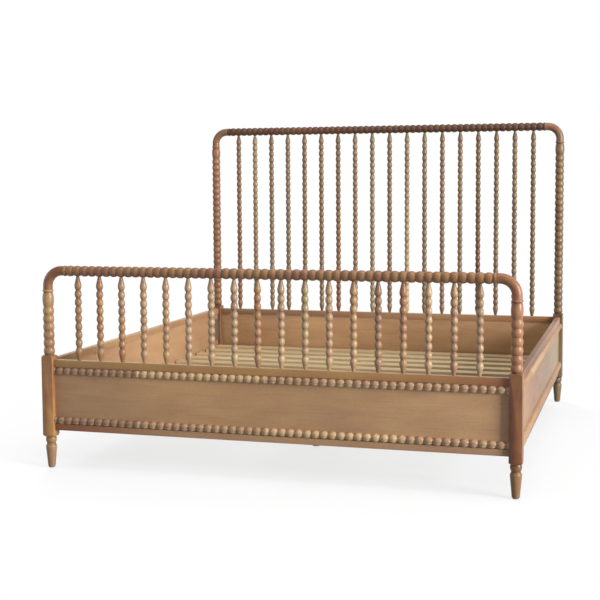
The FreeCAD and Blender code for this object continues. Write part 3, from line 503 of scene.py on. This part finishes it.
# %% Corner posts
POST_WIDTH = 52.0
POST_CROWN = 23.75
POST_NECK = 19.75
POST_COVE = 2.6
POST_ROUND = POST_WIDTH / math.sqrt(2) + 0.5
POST_EASING = 3.0
BLOCK_BULGE = (POST_ROUND + POST_NECK) / 2 + 5.0
TURNING_START = 488.5
POST_PITCH = 34.6
POST_TOP = 74.0
POST_SEGMENTS = 40
EASING_STEPS = 3
CORNER_GAP = 0.01


def post_outline(bobbins):
    """Outline of a post from the tip of its foot to the top of its collar."""
    tip = (6, 16)
    cove_low, cove_high = (100.5, 20.7), (111.5, 20.7)
    foot = [(tip[0], 0), tip, *swell((92, POST_CROWN), cove_low), *arc(cove_low, (106, 19), cove_high),
            *arc(cove_high, (124, 23.5), (136.5, POST_NECK))]
    block_low, block_high = (138.5, POST_NECK), (TURNING_START, POST_NECK)
    square_low, square_high = (148, POST_ROUND), (476.5, POST_ROUND)
    block = [block_low, *arc(block_low, (141, BLOCK_BULGE), square_low),
             square_high, *arc(square_high, (483.5, BLOCK_BULGE), block_high)]
    row = bobbin_row(TURNING_START, POST_PITCH, bobbins, POST_CROWN, POST_NECK, POST_COVE)
    row_top = TURNING_START + bobbins * POST_PITCH
    crown = (row_top + 33.3, 24.25)
    groove_low, groove_high = (row_top + 60.5, 20.5), (row_top + 64, 20.5)
    barrel = [*swell(crown, (row_top, POST_NECK))[-2::-1], *swell(crown, groove_low)[1:]]
    top = (row_top + POST_TOP, 21)
    collar = [*arc(groove_low, (row_top + 62.25, 19), groove_high),
              *arc(groove_high, (row_top + 69, POST_CROWN), top), (top[0], 0)]
    return foot + block + row[1:] + barrel + collar


def edges_in(parts):
    """The edges among the parts that a bmesh operator gives back."""
    return [part for part in parts if isinstance(part, bmesh.types.BMEdge)]


def saw(shape, point, outward):
    """Saw off what lies beyond a plane and fill the cut."""
    geometry = shape.verts[:] + shape.edges[:] + shape.faces[:]
    cut = bmesh.ops.bisect_plane(shape, geom=geometry, dist=SAME_POINT, plane_co=point, plane_no=outward,
                                 clear_outer=True)["geom_cut"]
    bmesh.ops.holes_fill(shape, edges=edges_in(cut), sides=0)


def ease(shape, edges, easing):
    """Round edges over and mark the new faces in the wear layer."""
    wear = shape.faces.layers.float["wear"]
    eased = bmesh.ops.bevel(shape, geom=edges, offset=easing, segments=EASING_STEPS, profile=0.5,
                            affect="EDGES", material=-1)
    for face in eased["faces"]:
        face[wear] = 1.0


def post_shape(bobbins, hold):
    """A whole post, turned round and then sawn square along its block."""
    shape = turn(post_outline(bobbins), POST_SEGMENTS, hold=hold)
    shape.faces.layers.float.new("wear")
    half = POST_WIDTH / 2
    for side in ((1, 0, 0), (-1, 0, 0), (0, 1, 0), (0, -1, 0)):
        saw(shape, Vector(side) * half, side)
    corners = [edge for edge in shape.edges
               if all(abs(abs(across) - half) < CORNER_GAP for v in edge.verts for across in v.co.xy)]
    ease(shape, corners, POST_EASING)
    return shape


def above(low, high, level=0.0):
    """Place over the middle of a box, at a level in metres."""
    return Matrix.Translation(((low.x + high.x) / 2, (low.y + high.y) / 2, level))


POST_GLAZE = {"footboard": 0.7, "headboard": 1.0}
POST_STAIN_HEIGHTS = (0.1, 0.15, 0.47, 0.5)
POST_STAINS = {
    "footboard_left": ("fawn", "gold", "fawn", "amber"),
    "footboard_right": ("brown", "umber", "russet", "copper"),
    "headboard_left": ("brown", "brown", "brown", "copper"),
    "headboard_right": ("bark", "bark", "bark", "taupe"),
}
for board in ("footboard", "headboard"):
    low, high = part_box(f"{board}_left_post")
    bobbins = round((high.z / MM - TURNING_START - POST_TOP) / POST_PITCH)
    pattern = post_shape(bobbins, POST_GLAZE[board])
    for side in ("left", "right"):
        low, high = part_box(f"{board}_{side}_post")
        node = f"{board}_{side}_post"
        piece = keep(pattern.copy(), f"{node}_wood", node, turned_upright, above(low, high))
        foot, block, row, top = POST_STAINS[f"{board}_{side}"]
        paint(piece, Z_AXIS, list(zip((*POST_STAIN_HEIGHTS, high.z), (foot, block, block, row, top))))
    print(board, "posts with", bobbins, "bobbins,", len(pattern.faces), "faces each")
    pattern.free()

# %% [markdown]
# At the top of each post a quarter bend, sawn and shaped by hand on the real bed, leads into the top rail. A
# disc swept along a curve would do, and so would a bent cylinder. Here a circle is pulled up for the short
# upright run, spun a quarter turn round a far axis, and pulled out level, just as round stock is bent.

# %% Elbows
ELBOW_RADIUS = 20.5
BEND_RADIUS = 66.0
UPRIGHT_RUN, LEVEL_RUN = 15.0, 13.0
ELBOW_SEGMENTS, BEND_STEPS = 32, 16


def pulled(shape, ring, away):
    """Extrude a ring of edges and move it; gives back the new ring."""
    geometry = bmesh.ops.extrude_edge_only(shape, edges=ring)["geom"]
    moved = [part for part in geometry if isinstance(part, bmesh.types.BMVert)]
    bmesh.ops.translate(shape, vec=away, verts=moved)
    return [edge for edge in edges_in(geometry)
            if all(abs((v.co - edge.verts[0].co).dot(Vector(away))) < SAME_POINT for v in edge.verts)]


def elbow_shape():
    """A quarter bend from upright to level, towards -X."""
    shape = bmesh.new()
    shape.verts.layers.float.new("glaze")
    bmesh.ops.create_circle(shape, segments=ELBOW_SEGMENTS, radius=ELBOW_RADIUS)
    ring = pulled(shape, shape.edges[:], (0, 0, UPRIGHT_RUN))
    ring = [edge for edge in ring if edge.is_boundary]
    corners = list({vertex for edge in ring for vertex in edge.verts})
    bent = bmesh.ops.spin(shape, geom=corners + ring, axis=(0, -1, 0), cent=(-BEND_RADIUS, 0, UPRIGHT_RUN),
                          angle=math.pi / 2, steps=BEND_STEPS)["geom_last"]
    pulled(shape, edges_in(bent), (-LEVEL_RUN, 0, 0))
    bmesh.ops.holes_fill(shape, edges=[edge for edge in shape.edges if edge.is_boundary], sides=0)
    return shape


ELBOW_STAINS = {
    "footboard_left": ("brown", "umber"),
    "footboard_right": ("copper", "chestnut"),
    "headboard_left": ("chestnut", "bark"),
    "headboard_right": ("bark", "brown"),
}
for board in ("footboard", "headboard"):
    for side, facing in (("left", math.pi), ("right", 0)):
        post_low, post_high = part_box(f"{board}_{side}_post")
        place = above(post_low, post_high, post_high.z) @ Matrix.Rotation(facing, 4, "Z")
        node = f"{board}_{side}_elbow"
        piece = keep(elbow_shape(), f"{node}_wood", node, turned_upright, place)
        low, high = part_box(node)
        paint(piece, Z_AXIS, list(zip((low.z, high.z), ELBOW_STAINS[f"{board}_{side}"])))
print("4 elbows bent at", BEND_RADIUS, "mm")

# %% [markdown]
# Each top rail is one long turning with a thin ring at both ends. Its bobbins are sized so that three of them
# fall to every spindle. The lathe spins round Z, so the finished rail is laid down along X.

# %% Top rails
RAIL_BOBBINS = 54
RAIL_CROWN = 23.0
RAIL_NECK = 18.25
RAIL_COVE = 3.5
RAIL_FACE = 21.0
RING_WIDTH = 10.0
RING_GROOVE = 2.5
RING_CROWN = 22.5
RAIL_SEGMENTS = 32


def rail_shape(length):
    """A top rail along Z, the same from its middle to both ends."""
    half = length / 2
    row_half = half - RING_WIDTH - RING_GROOVE
    row = bobbin_row(-row_half, 2 * row_half / RAIL_BOBBINS, RAIL_BOBBINS, RAIL_CROWN, RAIL_NECK, RAIL_COVE)
    backs = row[COVE_STEPS:-COVE_STEPS]
    ring_start, ring_end = (-half, RAIL_FACE), (RING_WIDTH - half, RAIL_FACE)
    ring = [(-half, 0), ring_start, *arc(ring_start, (RING_WIDTH / 2 - half, RING_CROWN), ring_end)]
    groove = arc(ring_end, ((ring_end[0] + backs[0][0]) / 2, RAIL_NECK), backs[0])[:-1]
    end = ring + groove
    return turn(end + backs + [(-along, radius) for along, radius in end[::-1]], RAIL_SEGMENTS)


RAIL_STAIN_SHARES = (0, 0.25, 0.5, 0.75, 1)
RAIL_STAINS = {
    "footboard": ("brown", "brown", "brown", "brown", "chestnut"),
    "headboard": ("espresso", "cocoa", "espresso", "espresso", "espresso"),
}
for board in ("footboard", "headboard"):
    node = f"{board}_top_rail"
    low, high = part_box(node)
    shape = rail_shape((high.x - low.x) / MM)
    place = Matrix.Translation((low + high) / 2) @ Matrix.Rotation(math.pi / 2, 4, "Y")
    piece = keep(shape, f"{node}_wood", node, turned_level, place)
    marks = [low.x + (high.x - low.x) * share for share in RAIL_STAIN_SHARES]
    paint(piece, X_AXIS, list(zip(marks, RAIL_STAINS[board])))
    print(node, "length in mm", round((high.x - low.x) / MM), "faces", len(piece.data.polygons))

# %% [markdown]
# A spindle starts and ends in a straight cone whose tip is glued into the rail, with a row of bulbs between.
# All eighteen of a board are turned to one pattern, so the pattern is spun once and copied. The bulbs are
# drawn a little fuller than the solids, because they look so on the real bed. What sets the spindles apart is
# the stain, and each is its own piece with its own pair of stains from top to bottom.

# %% Spindles
BULBS = {"footboard": 15.0, "headboard": 14.25}
SPINDLE_NECK = 9.9
SPINDLE_COVE = 4.0
SPINDLE_TIP = 6.5
SPINDLE_PITCH = 34.8
LEAST_CONE = 40.0
CONE_SHARES = (0, 0.12, 0.3, 0.55)
CONE_ROUNDING, ROUNDING_STEPS = 9.0, 4
CROWN_GAP = 0.01
TOP_TENON, BOTTOM_TENON = 14.0, 16.0
SPINDLE_SEGMENTS = 20
SPINDLE_GLAZE = 0.85


def spindle_shape(low, high, bulb):
    """A spindle between two levels, with its tenons; low, high and the bulb's radius in mm."""
    bulbs = round((high - low - 2 * LEAST_CONE) / SPINDLE_PITCH)
    cone = (high - low - bulbs * SPINDLE_PITCH) / 2
    first, last = low + cone, high - cone
    row = bobbin_row(first - SPINDLE_PITCH / 2, SPINDLE_PITCH, bulbs + 1, bulb, SPINDLE_NECK, SPINDLE_COVE)
    middle = [point for point in row if first + CROWN_GAP < point[0] < last - CROWN_GAP]
    flare = bulb - (bulb - SPINDLE_TIP) / (cone - CONE_ROUNDING / 2) * CONE_ROUNDING / 2
    taper = [(cone * share, SPINDLE_TIP + (flare - SPINDLE_TIP) * cone * share / (cone - CONE_ROUNDING))
             for share in CONE_SHARES]
    rising = [(low + along, radius) for along, radius in taper]
    rising += swell((first, bulb), (first - CONE_ROUNDING, flare), ROUNDING_STEPS)[::-1]
    falling = [(low + high - along, radius) for along, radius in rising[::-1]]
    foot, head = low - BOTTOM_TENON, high + TOP_TENON
    outline = [(foot, 0), (foot, SPINDLE_TIP), *rising, *middle, *falling, (head, SPINDLE_TIP), (head, 0)]
    return turn(outline, SPINDLE_SEGMENTS, hold=SPINDLE_GLAZE)


SPINDLE_GROUPS = ("left", "centre", "right")
SPINDLE_STAINS = {
    "footboard": (
        "fawn-fawn", "russet-amber", "tan-russet", "sand-tan", "honey-amber", "wheat-wheat",
        "wheat-honey", "tan-wheat", "russet-amber", "tan-honey", "moss-honey", "tan-honey",
        "amber-honey", "mocha-rose", "russet-mauve", "wheat-honey", "sand-mauve", "mocha-straw"),
    # The headboard's spindles take darker stains than the footboard's, and darker still towards the right-hand
    # end.
    "headboard": (
        "taupe-chestnut", "moss-mocha", "taupe-olive", "olive-taupe", "taupe-taupe", "taupe-taupe",
        "bark-chestnut", "olive-olive", "olive-moss", "taupe-taupe", "olive-straw", "olive-taupe",
        "taupe-mocha", "taupe-olive", "bark-cocoa", "bark-taupe", "taupe-taupe", "bark-bark"),
}
for board in ("footboard", "headboard"):
    foot_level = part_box(f"{board}_spindle_rail")[1].z
    head_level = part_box(f"{board}_spindles_left")[1].z - TOP_TENON * MM
    pattern = spindle_shape(foot_level / MM, head_level / MM, BULBS[board])
    rail_low, rail_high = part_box(f"{board}_top_rail")
    row_length = rail_high.x - rail_low.x - 2 * (RING_WIDTH + RING_GROOVE) * MM
    count = len(SPINDLE_STAINS[board])
    for index, stains in enumerate(SPINDLE_STAINS[board]):
        node = f"{board}_spindles_{SPINDLE_GROUPS[index * len(SPINDLE_GROUPS) // count]}"
        across = (index - (count - 1) / 2) * row_length / count
        place = Matrix.Translation((across, (rail_low.y + rail_high.y) / 2, 0))
        name = f"{board}_spindle_{index + 1:02d}"
        piece = keep(pattern.copy(), name, node, turned_upright, place)
        top, bottom = stains.split("-")
        paint(piece, Z_AXIS, [(foot_level, bottom), (head_level, top)])
    print(board, "spindles,", len(pattern.faces), "faces each")
    pattern.free()

# %% [markdown]
# Flat rails run between the posts above and below the panels. They are planed square and their edges eased.
# A box would catch no light along its edges, so every edge of the plank is bevelled and the bevel is marked
# as worn, where the finish is rubbed paler on the real bed. The panels are thinner boards set back between.

# %% Flat rails and panels
BAND_EASING, PANEL_EASING = 1.5, 0.3
STAIN_SHARES = (0, 0.3, 0.65, 1)
post_low, post_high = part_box("footboard_right_post")
between_x = 2 * post_low.x
between_y = -2 * post_high.y
band_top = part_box("footboard_spindle_rail")
band_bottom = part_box("footboard_bottom_rail")


def plank(length, thickness, low, high, easing):
    """A board along X with eased edges, cut across where its stain changes; sizes in mm."""
    shape = bmesh.new()
    shape.verts.layers.float.new("glaze")
    shape.faces.layers.float.new("wear")
    bmesh.ops.create_cube(shape, size=1)
    bmesh.ops.scale(shape, vec=(length, thickness, high - low), verts=shape.verts)
    bmesh.ops.translate(shape, vec=(0, 0, (low + high) / 2), verts=shape.verts)
    ease(shape, shape.edges[:], easing)
    for share in STAIN_SHARES[1:-1]:
        geometry = shape.verts[:] + shape.edges[:] + shape.faces[:]
        bmesh.ops.bisect_plane(shape, geom=geometry, dist=SAME_POINT,
                               plane_co=((share - 0.5) * length, 0, 0), plane_no=(1, 0, 0))
    return shape


LEVELS = {
    "upper": (band_top[0].z / MM, band_top[1].z / MM),
    "panel": (band_bottom[1].z / MM, band_top[0].z / MM),
    "lower": (band_bottom[0].z / MM, band_bottom[1].z / MM),
}
BAND_THICKNESS, PANEL_THICKNESS = 25.0, 14.5
BAND_STAINS = {
    "footboard_spindle_rail": ("ochre", "ochre", "ochre", "chestnut"),
    "footboard_panel": ("biscuit", "oat", "sand", "sand"),
    "footboard_bottom_rail": ("brick", "biscuit", "sand", "mauve"),
    "headboard_spindle_rail": ("taupe", "mocha", "fawn", "brown"),
    "headboard_panel": ("fawn", "sand", "fawn", "sand"),
    "headboard_bottom_rail": ("taupe", "fawn", "mocha", "brown"),
    "left_side_top_band": ("fawn", "sand", "fawn", "mauve"),
    "left_side_panel": ("sand", "biscuit", "sand", "mauve"),
    "left_side_bottom_band": ("fawn", "tan", "fawn", "brown"),
    "right_side_top_band": ("umber", "cocoa", "chestnut", "rose"),
    "right_side_panel": ("amber", "brown", "taupe", "moss"),
    "right_side_bottom_band": ("biscuit", "brown", "bark", "cocoa"),
}
for node, stains in BAND_STAINS.items():
    low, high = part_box(node)
    sideways = "side" in node
    level = "panel" if "panel" in node else "lower" if "bottom" in node else "upper"
    thickness = PANEL_THICKNESS if level == "panel" else BAND_THICKNESS
    easing = PANEL_EASING if level == "panel" else BAND_EASING
    length = between_y if sideways else between_x
    shape = plank(length / MM, thickness, *LEVELS[level], easing)
    place = above(low, high)
    if sideways:
        place = place @ Matrix.Rotation(math.pi / 2, 4, "Z")
    piece = keep(shape, f"{node}_wood", node, side_wood if sideways else board_wood, place)
    marks = [length * (share - 0.5) for share in STAIN_SHARES]
    paint(piece, Y_AXIS if sideways else X_AXIS, list(zip(marks, stains)))
print(len(BAND_STAINS), "flat rails and panels")

# %% [markdown]
# The beading is turned like a rail, split down the middle and glued to the panel, flat side in. It comes in
# stock lengths, so the joints and the change of stain from length to length show along a strip. The lower rim
# of every bead is painted paler than the rest, a painted bounce light that stands in for light thrown up from
# the floor. The half outline is spun half a turn, its flat back is bridged, and two planes saw each length
# where the next butts.

# %% Half-bobbin beading
BEAD_PITCH = 35.35
BEAD_CROWN = 16.5
BEAD_NECK = 9.5
BEAD_COVE = 1.8
BEAD_SEGMENTS = 14
STOCK_BEADS = 16
FIRST_LENGTH = 388.0
BEAD_OFFSETS = {"upper": 14.5, "lower": 12.5}
# Painted bounce light on the beads: below the middle of a strip the stain fades into a paler colour, fully
# paler this many mm down.
PAINTED_BOUNCE_RIM, PAINTED_BOUNCE_FADE = 11.0, 3.0


def beading_shape(cut_from, cut_to, first_neck):
    """One length of half-bobbin strip along Z, round side towards +Y."""
    start = first_neck + BEAD_PITCH * (math.floor((cut_from - first_neck) / BEAD_PITCH) - 1)
    count = math.ceil((cut_to - start) / BEAD_PITCH) + 1
    row = bobbin_row(start, BEAD_PITCH, count, BEAD_CROWN, BEAD_NECK, BEAD_COVE)
    shape = turn(row, BEAD_SEGMENTS, math.pi)
    flat = [edge for edge in shape.edges
            if edge.is_boundary and all(abs(v.co.y) < SAME_POINT for v in edge.verts)]
    bmesh.ops.bridge_loops(shape, edges=flat)
    saw(shape, (0, 0, cut_from), (0, 0, -1))
    saw(shape, (0, 0, cut_to), (0, 0, 1))
    return shape


# Each pair is a bead stain and the paler colour of the painted bounce light on its lower rims.
BEAD_STAINS_AND_BOUNCE_RIMS = {
    "footboard_upper": ("mocha-honey", "honey-cream", "mauve-cream", "mauve-cream"),
    "footboard_lower": ("mocha-straw", "mauve-cream", "honey-cream", "mauve-cream"),
    "left_side_upper": ("fawn-straw", "rose-straw", "mauve-straw", "tan-cream"),
    "left_side_lower": ("rose-straw", "fawn-straw", "mauve-cream", "mauve-straw"),
    "right_side_upper": ("fawn-straw", "tan-cream", "mauve-straw", "rose-straw"),
    "right_side_lower": ("mauve-straw", "fawn-straw", "rose-straw", "mauve-straw"),
}
LAID_ALONG_X = Matrix.Rotation(math.pi, 4, Vector((1, 0, 1)))
FACINGS = {"footboard": 0, "left_side": -math.pi / 2, "right_side": math.pi / 2}
bead_count = 0
for strip, stains in BEAD_STAINS_AND_BOUNCE_RIMS.items():
    node = f"{strip}_beading"
    where, row = strip.rsplit("_", 1)
    low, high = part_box(node)
    sideways = where != "footboard"
    end = (between_y if sideways else between_x) / MM / 2
    back = Vector(((low.x + high.x) / 2, high.y, 0))
    if sideways:
        back = Vector((low.x if low.x > 0 else high.x, (low.y + high.y) / 2, 0))
    back.z = (low.z + high.z) / 2
    place = Matrix.Translation(back) @ Matrix.Rotation(FACINGS[where], 4, "Z") @ LAID_ALONG_X
    butts = [FIRST_LENGTH - end + index * STOCK_BEADS * BEAD_PITCH for index in range(len(stains) - 1)]
    cuts = [-end, *butts, end]
    for index, pair in enumerate(stains):
        shape = beading_shape(cuts[index], cuts[index + 1], end - BEAD_OFFSETS[row])
        piece = keep(shape, f"{node}_length_{index + 1}", node,
                     side_wood if sideways else board_wood, place)
        # The second colour is painted bounce light, laid on the lower rims of the beads.
        stain, painted_bounce = pair.split("-")
        paint(piece, Z_AXIS, [(back.z - PAINTED_BOUNCE_RIM * MM, painted_bounce), (back.z - PAINTED_BOUNCE_FADE * MM, stain)])
        bead_count += 1
print(bead_count, "lengths of beading")

# %% [markdown]
# Inside the frame lie the ledgers, slats, centre beam and its legs. They are plain planed poplar without
# stain, made of flat faces, so the CAD shapes stay and only get a finish. Poplar is creamy with soft greenish
# and brown streaks, and the slats are sanded but bare, so they hardly shine.

# %% Planed poplar
SAPWOOD, HEARTWOOD, GROWTH_RING = "#CDB48C", "#B39A6C", "#A5845A"


def planed_poplar(name, grain):
    """Bare sanded poplar whose grain runs along one axis."""
    material, tree = new_material(name)
    noise = grain_noise(tree, grain, (
        ("heart", (55, 900), 3.0), ("ring", (6, 420), 3.0), ("fibre", (1.2, 40), 2.0)))
    heart = add_node(tree, "ShaderNodeMapRange", {"From Min": 0.45, "From Max": 0.72},
                     {"Value": noise["heart"]})
    sapwood = add_node(tree, "ShaderNodeMix",
                       {"data_type": "RGBA", 6: linear(SAPWOOD), 7: linear(HEARTWOOD)},
                       {0: heart.outputs[0]})
    ring = add_node(tree, "ShaderNodeMapRange", {"From Min": 0.5, "From Max": 0.7, "To Max": 0.35},
                    {"Value": noise["ring"]})
    ringed = add_node(tree, "ShaderNodeMix", {"data_type": "RGBA", 7: linear(GROWTH_RING)},
                      {0: ring.outputs[0], 6: sapwood.outputs[2]})
    fibre = add_node(tree, "ShaderNodeMapRange", {**NOISE_SPAN, "To Min": 0.93, "To Max": 1.05},
                     {"Value": noise["fibre"]})
    sanded = add_node(tree, "ShaderNodeHueSaturation", {},
                      {"Color": ringed.outputs[2], "Value": fibre.outputs[0]})
    rough = add_node(tree, "ShaderNodeMapRange", {"To Min": 0.55, "To Max": 0.75}, {"Value": noise["ring"]})
    bump = add_node(tree, "ShaderNodeBump", {"Strength": 0.15, "Distance": 0.15 * MM},
                    {"Height": noise["fibre"]})
    shader = tree.nodes["Principled BSDF"]
    shader.inputs["IOR"].default_value = WOOD_IOR
    tree.links.new(sanded.outputs["Color"], shader.inputs["Base Color"])
    tree.links.new(rough.outputs[0], shader.inputs["Roughness"])
    tree.links.new(bump.outputs["Normal"], shader.inputs["Normal"])
    return material


def finish_nodes(material, names):
    """Give CAD nodes that stay as they are one material."""
    for name in names:
        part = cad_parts[name]
        part.data.materials.clear()
        part.data.materials.append(material)


finish_nodes(planed_poplar("planed_poplar_across", X_AXIS), ["slats", "elbow_dowels"])
finish_nodes(planed_poplar("planed_poplar_along", Y_AXIS),
             ["left_side_ledger", "right_side_ledger", "centre_beam"])
finish_nodes(planed_poplar("planed_poplar_upright", Z_AXIS), ["front_centre_leg", "rear_centre_leg"])
print("slats, ledgers, beam and legs in poplar")

# %% [markdown]
# Hooks, hangers, inserts and screws are pressed or turned steel with a bright zinc coat. Zinc gives a cool
# grey metal with a faint cloudy bloom, more satin than mirror, so its roughness drifts in soft patches.

# %% Zinc-plated steel
BLOOM_MM = 9
DULL_ZINC, BRIGHT_ZINC = "#A9ADAF", "#C9CBC8"
zinc_steel, tree = new_material("zinc_plated_steel")
place = add_node(tree, "ShaderNodeTexCoord")
bloom = add_node(tree, "ShaderNodeTexNoise", {"Scale": 1 / (BLOOM_MM * MM), "Detail": 3.0},
                 {"Vector": place.outputs["Object"]})
cloud = add_node(tree, "ShaderNodeMix",
                 {"data_type": "RGBA", 6: linear(DULL_ZINC), 7: linear(BRIGHT_ZINC)},
                 {0: bloom.outputs["Fac"]})
satin = add_node(tree, "ShaderNodeMapRange", {"To Min": 0.3, "To Max": 0.52}, {"Value": bloom.outputs["Fac"]})
shader = tree.nodes["Principled BSDF"]
shader.inputs["Metallic"].default_value = 1.0
tree.links.new(cloud.outputs[2], shader.inputs["Base Color"])
tree.links.new(satin.outputs[0], shader.inputs["Roughness"])
STEEL_NODES = [
    "leveller_inserts", "centre_leg_dowel_screws", "rail_hook_plates", "hook_plate_screws",
    "post_catch_plates", "catch_plate_screws", "ledger_screws", "beam_hangers", "hanger_screws",
    "slat_screws", "front_leveller_stem", "rear_leveller_stem"]
finish_nodes(zinc_steel, STEEL_NODES)
print(len(STEEL_NODES), "steel nodes")

# %% [markdown]
# The glides under the posts and the feet of the levellers are moulded nylon: a warm grey with a fine matt
# texture from the mould. The texture's grains are about a quarter of a millimetre and are drawn twice as
# coarse.

# %% Moulded nylon
MOULD_GRAIN_MM = 0.5
DARK_NYLON, PALE_NYLON = "#7E7B76", "#8E8B86"
NYLON_IOR = 1.53
nylon, tree = new_material("moulded_grey_nylon")
place = add_node(tree, "ShaderNodeTexCoord")
texture = add_node(tree, "ShaderNodeTexNoise", {"Scale": 1 / (MOULD_GRAIN_MM * MM), "Detail": 1.0},
                   {"Vector": place.outputs["Object"]})
tone = add_node(tree, "ShaderNodeMix",
                {"data_type": "RGBA", 6: linear(DARK_NYLON), 7: linear(PALE_NYLON)},
                {0: texture.outputs["Fac"]})
matt = add_node(tree, "ShaderNodeMapRange", {"To Min": 0.45, "To Max": 0.6},
                {"Value": texture.outputs["Fac"]})
grain = add_node(tree, "ShaderNodeBump", {"Strength": 0.2, "Distance": 0.05 * MM},
                 {"Height": texture.outputs["Fac"]})
shader = tree.nodes["Principled BSDF"]
shader.inputs["IOR"].default_value = NYLON_IOR
tree.links.new(tone.outputs[2], shader.inputs["Base Color"])
tree.links.new(matt.outputs[0], shader.inputs["Roughness"])
tree.links.new(grain.outputs["Normal"], shader.inputs["Normal"])
finish_nodes(nylon, ["foot_glides", "front_leveller_foot", "rear_leveller_foot"])
print("glides and leveller feet in nylon")

# %% Sizes and finish
low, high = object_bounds()
print("visual box in metres:", [round(side, 3) for side in high - low])
